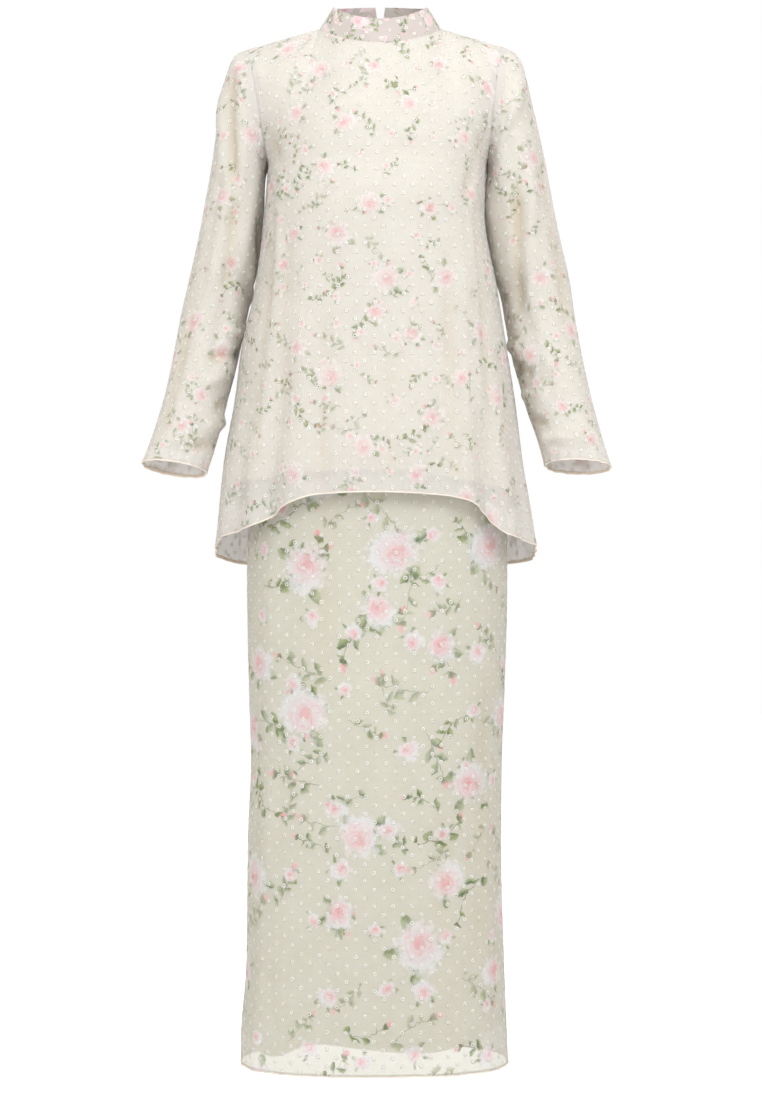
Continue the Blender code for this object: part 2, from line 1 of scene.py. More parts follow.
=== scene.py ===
"""The looks of a blouse and skirt set in its worn shape: dotted, rose-printed chiffon over a cream lining."""

import math
from collections import namedtuple

import bmesh
import bpy
import numpy as np
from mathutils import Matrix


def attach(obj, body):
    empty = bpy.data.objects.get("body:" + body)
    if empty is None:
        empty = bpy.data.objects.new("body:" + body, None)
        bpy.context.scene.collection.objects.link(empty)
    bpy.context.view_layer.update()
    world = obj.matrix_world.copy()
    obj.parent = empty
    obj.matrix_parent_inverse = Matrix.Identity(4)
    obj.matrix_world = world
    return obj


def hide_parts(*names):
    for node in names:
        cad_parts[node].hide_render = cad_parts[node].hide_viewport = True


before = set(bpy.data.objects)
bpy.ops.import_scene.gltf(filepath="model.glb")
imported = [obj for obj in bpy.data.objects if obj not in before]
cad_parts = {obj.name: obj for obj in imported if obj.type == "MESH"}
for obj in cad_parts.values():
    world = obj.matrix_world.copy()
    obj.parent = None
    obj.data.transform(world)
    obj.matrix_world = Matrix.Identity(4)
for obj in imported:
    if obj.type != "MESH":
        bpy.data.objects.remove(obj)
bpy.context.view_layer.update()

# The waistband: a casing of the lining cloth sewn to the skirt's top, gathered by the elastic inside it.
# It is hidden under the blouse, so it shows only from below and down the neck.
MM = 0.001


def table(kind, *rows):
    return [kind(*row) for row in rows]


Section = namedtuple("Section", "height left right front back seam power")
SKIRT = table(
    Section,
    (-400, 126, 122, 92, 92, 0, 2.10), (-450, 143, 138, 105, 105, 0, 2.15),
    (-520, 162, 154, 115, 115, 0, 2.20), (-600, 172, 163, 119, 119, 0, 2.25),
    (-704, 174, 164, 119, 119, 0, 2.25), (-861, 171, 160, 119, 118, 0, 2.25),
    (-939, 169, 157, 118, 117, 0, 2.25), (-1043, 173, 156, 118, 117, 0, 2.25),
    (-1199, 175, 160, 118, 118, 0, 2.30), (-1303, 182, 164, 119, 119, 0, 2.45),
    (-1329, 182, 165, 119, 119, 0, 2.45),
)
WAISTBAND_HEIGHT = 35 * MM
WAISTBAND_WALL = 3.0 * MM
GATHER_COUNT = 74
GATHER_DEPTH = 1.1 * MM


def column(rows, name):
    return np.array([getattr(row, name) for row in rows], float)


def smooth_curve(stations, values, at):
    """A smooth curve through the values that never overshoots them."""
    at = np.clip(at, stations[0], stations[-1])
    step = np.diff(stations)
    rise = np.diff(values) / step
    slope = np.zeros(len(values))
    slope[0], slope[-1] = rise[0], rise[-1]
    same_way = rise[1:] * rise[:-1] > 0
    total = rise[1:] + rise[:-1]
    slope[1:-1] = np.where(same_way, 2 * rise[1:] * rise[:-1] / np.where(same_way, total, 1), 0)
    i = np.clip(np.searchsorted(stations, at) - 1, 0, len(step) - 1)
    t = (at - stations[i]) / step[i]
    return (
        values[i] * (1 + 2 * t) * (1 - t) ** 2
        + slope[i] * step[i] * t * (1 - t) ** 2
        + values[i + 1] * t * t * (3 - 2 * t)
        + slope[i + 1] * step[i] * t * t * (t - 1)
    )


def ease(value):
    value = np.clip(value, 0, 1)
    return value * value * (3 - 2 * value)


def bend(value, power):
    """Cosine or sine of a superellipse's turn."""
    return np.sign(value) * np.abs(value) ** (2 / power)


def unit(vectors):
    return vectors / np.linalg.norm(vectors, axis=-1, keepdims=True)


def section_point(sections, folds, turn, height):
    """The point at a turn, in degrees, of the level section at a height, in metres."""
    heights = -column(sections, "height") * MM
    left, right, front, back, seam = (
        smooth_curve(heights, column(sections, name) * MM, -height)
        for name in ("left", "right", "front", "back", "seam")
    )
    power = smooth_curve(heights, column(sections, "power"), -height)
    angle = np.radians(turn)
    cosine, sine = np.cos(angle), np.sin(angle)
    middle, half = (right - left) / 2, (right + left) / 2
    depth = np.where(sine > 0, back - seam, front + seam)
    x = middle + half * bend(cosine, power)
    y = seam + depth * bend(sine, power)
    out = np.hypot(cosine / half, sine / depth)
    for fold in folds:
        away = (turn - fold.turn + 180) % 360 - 180
        grown = ease((fold.top * MM - height) / ((fold.top - fold.full) * MM))
        lift = fold.depth * MM * np.exp(-((away / fold.spread) ** 2)) * grown
        x = x + lift * cosine / half / out
        y = y + lift * sine / depth / out
    return np.stack([x, y, np.broadcast_to(height, x.shape)], axis=-1)


def outward_normals(grid, closed):
    if closed:
        across = np.roll(grid, -1, axis=1) - np.roll(grid, 1, axis=1)
    else:
        across = np.gradient(grid, axis=1)
    normal = unit(np.cross(across, np.gradient(grid, axis=0)))
    if (normal * (grid - grid.mean(axis=(0, 1)))).sum() < 0:
        normal = -normal
    return normal


def run_lengths(grid, axis):
    """Length along the grid's rows or columns up to each point."""
    steps = np.linalg.norm(np.diff(grid, axis=axis), axis=-1)
    before = [(1, 0), (0, 0)] if axis == 0 else [(0, 0), (1, 0)]
    return np.cumsum(np.pad(steps, before), axis=axis)


def linked(name, data):
    made = bpy.data.objects.new(name, data)
    bpy.context.scene.collection.objects.link(made)
    return made


def shell(name, outer, inward, thickness, place, finishes, closed=False, missing=(), edge=None, hollow=None):
    """A thin closed sheet: the outer grid of points, the same moved inward, and rims round its edges.

    place gives each point's place on the cut cloth, in metres, with one more column where the grid
    closes. finishes are the outer and the inner material. missing names open cells, (row, column).
    edge is each point's distance from the nearest cut edge, and the shade values how much painted shade
    darkens each point's colour, in fold troughs and on a sleeve's inner side.
    """
    rows, columns = outer.shape[:2]
    wide, half = columns + closed, rows * columns
    points = np.concatenate([outer.reshape(-1, 3), (outer + inward * thickness).reshape(-1, 3)])
    cells = [
        [(row, cell), (row, cell + 1), (row + 1, cell + 1), (row + 1, cell)]
        for row in range(rows - 1)
        for cell in range(wide - 1)
        if (row, cell) not in missing
    ]
    skin = [[r * columns + c % columns for r, c in corners] for corners in cells]
    marks = [[r * wide + c for r, c in corners] for corners in cells]
    edges = {}
    for face, mark in zip(skin, marks):
        for i in range(4):
            edges[face[i], face[(i + 1) % 4]] = (mark[i], mark[(i + 1) % 4])
    faces = skin + [[corner + half for corner in face[::-1]] for face in skin]
    marks += [mark[::-1] for mark in marks]
    for (a, b), (mark_a, mark_b) in edges.items():
        if (b, a) not in edges:
            faces.append([b, a, a + half, b + half])
            marks.append([mark_b, mark_a, mark_a, mark_b])
    side = [0] * len(skin) + [1] * (len(faces) - len(skin))
    a, b, c, d = (points[np.array(faces)[:, i]] for i in range(4))
    if (a * (np.cross(b, c) + np.cross(c, d))).sum() < 0:
        faces = [face[::-1] for face in faces]
        marks = [mark[::-1] for mark in marks]
    mesh = bpy.data.meshes.new(name)
    mesh.from_pydata(points.tolist(), [], faces)
    for finish in finishes:
        mesh.materials.append(finish)
    mesh.polygons.foreach_set("material_index", side)
    spots = place.reshape(-1, 2)[np.array(marks).ravel()]
    mesh.uv_layers.new(name="cloth").data.foreach_set("uv", spots.ravel())
    for label, values in (("from_edge", edge), ("hollow", hollow)):
        if values is not None:
            both = np.tile(np.ravel(values), 2).astype(np.float32)
            mesh.attributes.new(label, "FLOAT", "POINT").data.foreach_set("value", both)
    mesh.shade_smooth()
    mesh.set_sharp_from_angle(angle=math.radians(50))
    return linked(name, mesh)


def tube_place(grid):
    """Place on the cut cloth of a closed grid: round from its first column, and along from its first row."""
    wrapped = np.concatenate([grid, grid[:, :1]], axis=1)
    around = run_lengths(wrapped, 1)
    along = run_lengths(wrapped, 0)
    return np.stack([around - around[:, -1:] / 2, along.mean(axis=1, keepdims=True) + 0 * along], axis=-1)


class Value:
    """One output of a node. It reads as a number in a formula, and each sign adds a math node."""

    def __init__(self, wiring, socket):
        self.wiring, self.socket = wiring, socket

    def tune(self, name, value):
        """Set another input of the node that gives this value."""
        self.wiring.feed(self.socket.node.inputs[name], value)


def math_sign(operation, swapped=False):
    def applied(one, other):
        return one.wiring.math(operation, *((other, one) if swapped else (one, other)))

    return applied


for sign, operation in (("add", "ADD"), ("sub", "SUBTRACT"), ("mul", "MULTIPLY"), ("truediv", "DIVIDE")):
    setattr(Value, f"__{sign}__", math_sign(operation))
    setattr(Value, f"__r{sign}__", math_sign(operation, swapped=True))
Value.__gt__, Value.__lt__ = math_sign("GREATER_THAN"), math_sign("LESS_THAN")
Value.__abs__ = lambda value: value.wiring.math("ABSOLUTE", value)


class Sockets:
    """A node's sockets: reading an output gives its value, and setting an input feeds it."""

    def __init__(self, wiring, sockets):
        self.wiring, self.sockets = wiring, sockets

    def __getitem__(self, name):
        return Value(self.wiring, self.sockets[name])

    def __setitem__(self, name, value):
        self.wiring.feed(self.sockets[name], value)


class Wiring:
    """Writes a node tree as formulas: each call adds one node and gives its outputs or its value."""

    def __init__(self, tree):
        self.tree = tree

    def feed(self, socket, value):
        if isinstance(value, Value):
            self.tree.links.new(value.socket, socket)
        elif value is not None:
            socket.default_value = value

    def node(self, kind, *values, **settings):
        made = self.tree.nodes.new(kind if "Node" in kind else "ShaderNode" + kind)
        for setting, value in settings.items():
            setattr(made, setting, value)
        for socket, value in zip(made.inputs, values):
            self.feed(socket, value)
        return Sockets(self, made.outputs)

    def math(self, operation, *values):
        return self.node("Math", *values, operation=operation)[0]

    def vector(self, operation, *values):
        return self.node("VectorMath", *values, operation=operation)[0]

    def length(self, vector):
        return self.node("VectorMath", vector, operation="LENGTH")[1]

    def scaled(self, vector, by):
        return self.node("VectorMath", vector, None, None, by, operation="SCALE")[0]

    def smooth(self, value, low, high):
        return self.node("MapRange", value, low, high, 0.0, 1.0, interpolation_type="SMOOTHSTEP")[0]

    def blend(self, share, one, other, **settings):
        return self.node("Mix", share, *[None] * 5, one, other, data_type="RGBA", **settings)[2]

    def noise(self, place, scale, detail, roughness, **settings):
        return self.node("TexNoise", place, None, scale, detail, roughness, **settings)

    def bump(self, strength, depth, height):
        return self.node("Bump", strength, depth, None, height)[0]

    def with_painted_shade(self, colour):
        """The colour, darker and warmer towards a tan as painted shade, as far as the point's shade attribute
        says: in fold troughs and on the sleeves' inner sides.
        """
        hollow = self.node("Attribute", attribute_name="hollow")["Fac"]
        return self.blend(hollow, colour, (0.92, 0.86, 0.76, 1), blend_type="MULTIPLY")

    def group(self, tree, **values):
        made = self.tree.nodes.new("ShaderNodeGroup")
        made.node_tree = tree
        for name, value in values.items():
            self.feed(made.inputs[name.replace("_", " ").capitalize()], value)
        return Sockets(self, made.outputs)


FLOAT, VECTOR, COLOUR, INTEGER = (f"NodeSocket{kind}" for kind in ("Float", "Vector", "Color", "Int"))
OBJECT, FINISH, GEOMETRY = (f"NodeSocket{kind}" for kind in ("Object", "Material", "Geometry"))


def effect(name, inputs, outputs, kind="ShaderNodeTree"):
    """An empty node group with named inputs (name: kind and value) and outputs (name: kind)."""
    tree = bpy.data.node_groups.new(name, kind)
    for label, (kind, value) in inputs.items():
        socket = tree.interface.new_socket(label, in_out="INPUT", socket_type=kind)
        if value is not None:
            socket.default_value = value
    for label, kind in outputs.items():
        tree.interface.new_socket(label, in_out="OUTPUT", socket_type=kind)
    w = Wiring(tree)
    given = Sockets(w, tree.nodes.new("NodeGroupInput").outputs)
    return tree, w, given, Sockets(w, tree.nodes.new("NodeGroupOutput").inputs)


weave, w, given, result = effect(
    "plain weave",
    {"Place": (VECTOR, None), "Pitch": (FLOAT, 0.0005), "Crimp": (FLOAT, 0.5)},
    {"Height": FLOAT, "Mottle": FLOAT},
)
turns = 2 * math.pi / given["Pitch"]
across = w.node("SeparateXYZ", w.scaled(given["Place"], turns))
warp = abs(w.math("SINE", across[0]))
weft = abs(w.math("SINE", across[1]))
crinkle = w.noise(given["Place"], 420.0, 1.0, 0.6, noise_dimensions="2D")[0]
threads = warp * 0.5 + weft * 0.5
result["Height"] = crinkle * given["Crimp"] + threads
cloud = w.noise(given["Place"], 24.0, 1.0, 0.5, noise_dimensions="2D")[0]
result["Mottle"] = cloud


def new_material(name):
    made = bpy.data.materials.new(name)
    made.use_nodes = True
    w = Wiring(made.node_tree)
    return made, w, Sockets(w, w.tree.nodes["Principled BSDF"].inputs)


def woven_material(name, light, dark, roughness, sheen, pitch, alpha=1.0):
    """Plain woven cloth with no print."""
    made, w, shader = new_material(name)
    place = w.node("UVMap", uv_map="cloth")[0]
    cloth = w.group(weave, place=place, pitch=pitch)
    tone = w.blend(w.smooth(cloth["Mottle"], 0.3, 0.7), (*dark, 1), (*light, 1))
    shader["Base Color"] = w.with_painted_shade(tone)
    bump = w.bump(0.35, pitch, cloth["Height"])
    shader["Normal"] = bump
    shader["Roughness"] = roughness
    shader["Sheen Weight"] = sheen
    shader["Alpha"] = alpha
    return made


def as_cloth(piece, node, slot, **cut):
    """Attaches a sheet to the root body and hides the solid part it stands in for."""
    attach(piece, "root")
    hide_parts(node)


LINING_FINISH = woven_material("skirt_lining", (0.91, 0.885, 0.53), (0.88, 0.85, 0.48), 0.48, 0.1, 0.0004)
turn = np.arange(GATHER_COUNT * 8) * 360 / (GATHER_COUNT * 8)
share = np.linspace(0, 1, 8)[:, None]
height = SKIRT[0].height * MM + WAISTBAND_HEIGHT * share
grid = section_point(SKIRT, [], turn, np.full(turn.shape, SKIRT[0].height * MM)) + 0 * share[..., None]
grid[..., 2] = height
inward = -outward_normals(grid, True)
swell = np.sin(np.radians(turn) * GATHER_COUNT + 1.3 * np.sin(np.radians(turn) * 7)) - 1
grid = grid - inward * (GATHER_DEPTH * swell * ease(share * 5) * ease((1 - share) * 5))[..., None]
grid += inward * (GATHER_DEPTH * 0.5)
waistband = shell(
    "skirt_waistband_casing", grid, inward, WAISTBAND_WALL * 0.8, tube_place(grid),
    [LINING_FINISH] * 2, closed=True,
)
as_cloth(
    waistband, "skirt_waistband", "covered_trim",
    flat=(0.98, 0.037), held="gathered", rests_on=["skirt_waistband"],
)

# The skirt's lining: two panels of smooth cream cloth, side seam to side seam, that end above the
# chiffon's sheer hem in a turned and stitched hem.
Fold = namedtuple("Fold", "turn spread depth top full")
SKIRT_FOLDS = table(
    Fold,
    (60, 10, 4, -640, -1200), (105, 12, 5, -600, -1250), (135, 9, 4, -700, -1300), (214, 7, 4, -620, -1250),
    (236, 9, 3, -700, -1300), (262, 10, 3, -900, -1320), (298, 10, 3, -800, -1300),
    (325, 7, 3, -700, -1280),
)
Hem = namedtuple("Hem", "turn height")
SKIRT_HEM = [Hem(0, -1329), Hem(360, -1329)]
SKIRT_LINING_HEM = table(
    Hem,
    (0, -1280), (90, -1286), (180, -1286), (225, -1308), (250, -1288), (285, -1300), (315, -1288),
    (345, -1274), (360, -1280),
)
CAD_CLOTH = 1.2 * MM
SHEET = 0.5 * MM
SKIRT_LINING_SPACE = 2.5 * MM


def hem_height(table, turn):
    return smooth_curve(column(table, "turn"), column(table, "height"), turn) * MM


def even_turns(sections, height, start, stop, share):
    """Turns that lie at even lengths along a section between two of its turns."""
    fine = np.linspace(start, stop, 721)
    points = section_point(sections, [], fine, np.full(fine.shape, height))
    length = run_lengths(points[None], 1)[0]
    return np.interp(share, length / length[-1], fine)


def skirt_grid(side, columns, rows, hem, folds):
    turn = even_turns(SKIRT, -1.0, 180, 180 - 180 * side, np.arange(columns + 1) / columns)
    bottom = hem_height(hem, turn)
    height = bottom + (SKIRT[0].height * MM - bottom) * np.linspace(0, 1, rows + 1)[:, None]
    grid = section_point(SKIRT, folds, np.broadcast_to(turn, height.shape), height)
    inward = -outward_normals(grid, False)
    inward[:, [0, -1], 1] = 0
    return grid, unit(inward)


def panel_place(grid, level_row):
    """Place on a cut panel: across from its middle column, and up from one of its rows."""
    across = run_lengths(grid, 1)
    middle = grid.shape[1] // 2
    up = run_lengths(grid, 0)
    return np.stack([across - across[:, middle : middle + 1], up - up[level_row]], axis=-1)


def grown(name, tree, **values):
    """A new object holding what a Geometry Nodes tree makes from the values given, as a plain mesh."""
    made = linked(name, bpy.data.meshes.new(name))
    modifier = made.modifiers.new(name, "NODES")
    modifier.node_group = tree
    for item in tree.interface.items_tree:
        label = item.name.replace(" ", "_").lower()
        if item.in_out == "INPUT" and label in values:
            modifier[item.identifier] = values[label]
    return settled(made)


def settled(obj):
    """The object with its modifiers made part of its mesh."""
    mesh = bpy.data.meshes.new_from_object(obj.evaluated_get(bpy.context.evaluated_depsgraph_get()))
    obj.modifiers.clear()
    obj.data = mesh
    return obj


def swept(name, line, up, out, profile, finish, closed=False):
    """A narrow strip along an edge: its profile is in millimetres up from the edge and out from the cloth."""
    up, out = unit(up), unit(out)
    count, sides = len(line), len(profile)
    points = np.concatenate([line + (rise * up + proud * out) * MM for rise, proud in profile])
    steps = np.linalg.norm(np.diff(line, axis=0, append=line[:1]), axis=1)
    length = np.append(0, np.cumsum(steps))
    sides_long = [math.dist(a, b) * MM for a, b in zip(profile, profile[1:] + profile[:1])]
    girth = np.append(0, np.cumsum(sides_long))
    faces, spots = [], []
    for side in range(sides):
        for i in range(count if closed else count - 1):
            corners = [(side, i), (side, i + 1), (side + 1, i + 1), (side + 1, i)]
            faces.append([s % sides * count + j % count for s, j in corners])
            spots += [(length[j], girth[s]) for s, j in corners]
    for i in () if closed else (0, count - 1):
        faces.append([side * count + i for side in range(sides)])
        spots += [(length[i], around) for around in girth[:-1]]
    mesh = bpy.data.meshes.new(name)
    mesh.from_pydata(points.tolist(), [], faces)
    mesh.materials.append(finish)
    mesh.uv_layers.new(name="cloth").data.foreach_set("uv", np.array(spots).ravel())
    shape = bmesh.new()
    shape.from_mesh(mesh)
    bmesh.ops.recalc_face_normals(shape, faces=shape.faces)
    shape.to_mesh(mesh)
    shape.free()
    mesh.shade_smooth()
    mesh.set_sharp_from_angle(angle=math.radians(70))
    return linked(name, mesh)


def as_trim(piece):
    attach(piece, "root")
    return piece


stitch_tree, w, given, result = effect(
    "hand of stitches",
    {
        "Path": (OBJECT, None),
        "Pitch": (FLOAT, 3.0 * MM),
        "Stitch length": (FLOAT, 2.3 * MM),
        "Thread radius": (FLOAT, 0.18 * MM),
        "Finish": (FINISH, None),
    },
    {"Geometry": GEOMETRY},
    "GeometryNodeTree",
)
line = w.node("GeometryNodeMeshToCurve", w.node("GeometryNodeObjectInfo", given["Path"])["Geometry"])[0]
line = w.node("GeometryNodeResampleCurve", line, None, None, given["Pitch"], mode="LENGTH")[0]
thread = w.node("GeometryNodeMeshCylinder", 5, 1, 1, given["Thread radius"], given["Stitch length"])[0]
along = w.node("GeometryNodeInputTangent")[0]
lie = w.node("FunctionNodeAlignRotationToVector", None, None, along, axis="Z")[0]
stitches = w.node("GeometryNodeInstanceOnPoints", line, None, thread, None, None, lie)[0]
stitches = w.node("GeometryNodeRealizeInstances", stitches)[0]
stitches = w.node("GeometryNodeSetMaterial", stitches, None, given["Finish"])[0]
result["Geometry"] = stitches

THREAD_FINISH, w, shader = new_material("sewing_thread")
twist = w.node("TexWave", w.node("TexCoord")["Object"], 1400.0, 2.0, 1.0)[0]
shader["Base Color"] = w.blend(twist, (0.8, 0.74, 0.6, 1), (0.9, 0.86, 0.76, 1))
shader["Normal"] = w.bump(0.4, 0.0002, twist)
shader["Roughness"] = 0.55


def stitched(name, lines, closed=False):
    """A row of stitches along each line of points."""
    points = [tuple(point) for line in lines for point in line]
    edges, first = [], 0
    for line in lines:
        last = first + len(line) - 1
        edges += [(i, i + 1) for i in range(first, last)] + ([(last, first)] if closed else [])
        first = last + 1
    mesh = bpy.data.meshes.new("stitch_path")
    mesh.from_pydata(points, edges, [])
    path = linked("stitch_path", mesh)
    made = grown(name, stitch_tree, path=path, finish=THREAD_FINISH)
    bpy.data.objects.remove(path)
    made.data.shade_smooth()
    return as_trim(made)


SIDES = ((-1, "front"), (1, "back"))
LINING_HEM = [
    (0, 0.15), (-0.5, -0.2), (-0.5, -0.9), (0, -1.2), (9.6, -1.15), (10.2, -0.8), (10.2, -0.2),
    (9.7, 0.14),
]


def lining_panel(name, grid, inward, level_row, finish, **cut):
    """A lining panel with a turned and stitched hem along its first row."""
    lining = shell(name + "_cloth", grid, inward, SHEET, panel_place(grid, level_row), [finish] * 2)
    up = unit(grid[1] - grid[0])
    hem = as_trim(swept(name + "_hem", grid[0], up, -inward[0], LINING_HEM, finish))
    seam = stitched(name + "_stitches", [grid[0] + up * 8.6 * MM - inward[0] * 0.28 * MM])
    as_cloth(lining, name, "cream_lining", held="hung", with_pieces=[hem, seam], **cut)


for side, name in SIDES:
    grid, inward = skirt_grid(side, 60, 90, SKIRT_LINING_HEM, [])
    down = 1 - np.arange(len(grid)) / (len(grid) - 1)
    space = CAD_CLOTH + SKIRT_LINING_SPACE * ease(down * 4)
    grid = grid + inward * space[:, None, None]
    lining_panel(
        "skirt_lining_" + name, grid, inward, -1, LINING_FINISH,
        flat=(0.50, 0.905), area=0.445, rests_on=[waistband],
    )

# The skirt's chiffon: a sheer crepe cloth printed with large, loosely painted roses, with a woven dot
# every few millimetres, cut as two panels and hung straight over the lining.
sprig, w, given, result = effect(
    "painted sprig",
    {"Place": (VECTOR, None), "Chance": (FLOAT, 0.5)},
    {"Leaf": FLOAT, "Side": FLOAT, "Stem": FLOAT, "Bud": FLOAT, "Calyx": FLOAT},
)
spot = w.node("SeparateXYZ", given["Place"])
bow = given["Chance"] * 0.5 + -0.16
off_stem = spot[1] - spot[0] * spot[0] * bow
above = off_stem > 0.0
pairs = above * 0.5 + (spot[0] * 1.6 + 1.9)
pair = w.math("FLOOR", pairs)
along = w.math("FRACT", pairs) * 0.625
away = abs(off_stem)
leaf_x = (along + away) * 1.02
leaf_y = (away - along) * 0.52
half_width = leaf_x * (1.0 - leaf_x) * 0.58
leaf = w.smooth(half_width - abs(leaf_y), 0.0, 0.05)
seen = w.math("SINE", pair * 7.7 + (given["Chance"] * 51.0 + above))
kept = (seen > -0.25) * w.math("COMPARE", pairs, 1.5, 1.75)
result["Leaf"] = leaf * kept
result["Side"] = w.smooth(leaf_y, -0.07, 0.07)
ends = w.smooth(spot[0], -1.3, -1.1) * w.smooth(spot[0], 1.0, 0.9)
result["Stem"] = w.smooth(away, 0.04, 0.01) * ends
bud_x = spot[0] - 1.15
bud_place = w.node("CombineXYZ", bud_x * 3.4, off_stem * 4.6)[0]
bud_reach = w.length(bud_place)
result["Bud"] = w.smooth(bud_reach, 1.1, 0.5)
result["Calyx"] = w.smooth(bud_reach, 1.25, 1.0) * w.smooth(bud_x, -0.02, -0.16)

rose, w, given, result = effect(
    "painted rose",
    {
        "Place": (VECTOR, None),
        "Chance": (FLOAT, 0.5),
        "Rough": (FLOAT, 0.5),
        "Halo": (COLOUR, (0.9, 0.9, 0.9, 1)),
    },
    {"Colour": COLOUR, "Mask": FLOAT, "Leaf": FLOAT, "Side": FLOAT},
)
spot = w.node("SeparateXYZ", given["Place"])
distance = w.length(given["Place"])
angle = given["Chance"] * 9.0 + w.math("ARCTAN2", spot[1], spot[0])
lobes = w.math("SINE", angle * 2.0 + distance)
uneven = given["Rough"] * 0.9 + (lobes * 0.07 + -0.45)
reach = distance + uneven
from_heart = w.length(w.vector("SUBTRACT", given["Place"], (0.15, 0.1, 0.0)))
swirl = w.math("SINE", from_heart * -6.0 + angle * 2.0)
layers = swirl * 0.3 + (from_heart * 3.6 + uneven)
petal = w.math("FRACT", layers)
soft = w.smooth(from_heart, 0.95, 0.2) * (petal * -0.75 + 1.05)
pink = soft * (given["Chance"] * 0.5 + 0.62)
tone = w.blend(pink, given["Halo"], (0.93, 0.52, 0.56, 1))
rim = w.smooth(petal, 0.2, 0.0) * w.smooth(from_heart, 0.8, 0.35)
tone = w.blend(rim * 0.5, tone, (0.86, 0.4, 0.46, 1))
heart = w.smooth(from_heart + uneven, 0.32, 0.06)
tone = w.blend(heart * 0.55, tone, (0.88, 0.3, 0.35, 1))
result["Colour"] = tone
result["Mask"] = w.smooth(reach, 1.05, 0.6)
fifths = angle * (5 / (2 * math.pi))
fifth = w.math("FLOORED_MODULO", w.math("FLOOR", fifths), 5.0)
lean = w.math("FRACT", fifths) * (2 * math.pi / 5) + -math.pi / 5
leaf_x = distance * w.math("COSINE", lean) * 1.3 + -0.85
leaf_y = distance * w.math("SINE", lean)
half_width = leaf_x * (1.0 - leaf_x) * 0.95
leaf = w.smooth(half_width - abs(leaf_y), 0.0, 0.08)
seen = w.math("SINE", fifth * 5.3 + given["Chance"] * 37.0)
result["Leaf"] = leaf * (seen > 0.1)
result["Side"] = w.smooth(leaf_y, -0.14, 0.14)

floral, w, given, result = effect(
    "rose print",
    {
        "Place": (VECTOR, None),
        "Rose radius": (FLOAT, 0.028),
        "Rose spacing": (FLOAT, 4.4),
        "Sprig spacing": (FLOAT, 3.4),
        "Rose share": (FLOAT, 0.8),
        "Sprig share": (FLOAT, 0.7),
        "Strength": (FLOAT, 1.0),
        "Halo": (COLOUR, (0.9, 0.9, 0.9, 1)),
        "Ground": (COLOUR, (0.90, 0.88, 0.80, 1)),
    },
    {"Colour": COLOUR, "Ink": FLOAT},
)
per_radius = 1.0 / given["Rose radius"]
in_radii = w.scaled(given["Place"], per_radius)
brushed = w.noise(in_radii, 2.6, 2.0, 0.6, noise_dimensions="2D")[1]
painted = w.vector("ADD", in_radii, w.scaled(w.vector("SUBTRACT", brushed, (0.5, 0.5, 0.5)), 0.3))
brush = w.node("SeparateColor", brushed)[2]


def scattered(spacing, shift, spin, irregular):
    """Places motifs over the cloth: the place seen from the nearest motif, in rose radii, and its chances."""
    moved = w.node("VectorRotate", painted, None, None, spin, rotation_type="Z_AXIS")[0]
    moved = w.vector("ADD", moved, (shift, shift * 0.37, 0.0))
    scale = 1.0 / spacing
    found = w.node("TexVoronoi", moved, None, scale, voronoi_dimensions="2D", feature="F1")
    found[0].tune("Randomness", irregular)
    local = w.vector("MULTIPLY", w.vector("SUBTRACT", moved, found["Position"]), (1.0, 1.0, 0.0))
    chances = w.node("SeparateColor", found["Color"])
    turned = chances[1] * (2 * math.pi)
    return w.node("VectorRotate", local, None, None, turned, rotation_type="Z_AXIS")[0], chances


def laid(mask, strength, colour, over):
    """Paint laid over the cloth, thinner where the brush was dry."""
    cover = (brush * 1.1 + 0.4) * given["Strength"]
    return w.blend(mask * strength * cover, over, colour)


def green(tone, chance):
    dark = w.blend(chance, (0.11, 0.19, 0.10, 1), (0.22, 0.27, 0.11, 1))
    return w.blend(tone, dark, (0.42, 0.48, 0.27, 1))


colour, ink = given["Ground"], 0.0
for sprig_scale, spacing_share, shift, spin in ((1.0, 1.0, 0.31, 0.9), (1.4, 0.74, 9.7, 2.3)):
    place, chances = scattered(given["Sprig spacing"] * spacing_share, shift, spin, 0.6)
    shown = chances[0] < given["Sprig share"]
    shown = shown * (chances[2] * 0.5 + 0.6)
    made = w.group(sprig, place=w.scaled(place, sprig_scale), chance=chances[2])
    bud_tone = w.blend(made["Bud"], (0.90, 0.84, 0.90, 1), (0.91, 0.40, 0.45, 1))
    colour = laid(made["Bud"], shown * 0.8, bud_tone, colour)
    leafy = w.math("MAXIMUM", made["Leaf"], made["Calyx"])
    colour = laid(leafy, shown, green(made["Side"], chances[1]), colour)
    colour = laid(made["Stem"], shown * 0.75, (0.22, 0.27, 0.15, 1), colour)
    ink = w.math("MAXIMUM", ink, w.math("MAXIMUM", made["Leaf"], made["Bud"]) * shown)

for bloom_scale, spacing_share, shift, spin in ((2.3, 0.62, 5.3, 1.7), (1.0, 1.0, 0.0, 0.45)):
    place, chances = scattered(given["Rose spacing"] * spacing_share, shift, spin, 0.55)
    shown = chances[0] < given["Rose share"]
    size = (chances[2] * 0.6 + 0.8) * bloom_scale
    made = w.group(rose, place=w.scaled(place, size), chance=chances[2], rough=brush, halo=given["Halo"])
    colour = laid(made["Leaf"], shown * 0.8, green(made["Side"], chances[1]), colour)
    colour = laid(made["Mask"], shown * 0.95, made["Colour"], colour)
    ink = w.math("MAXIMUM", ink, w.math("MAXIMUM", made["Leaf"], made["Mask"]) * shown)
result["Colour"] = colour
result["Ink"] = ink


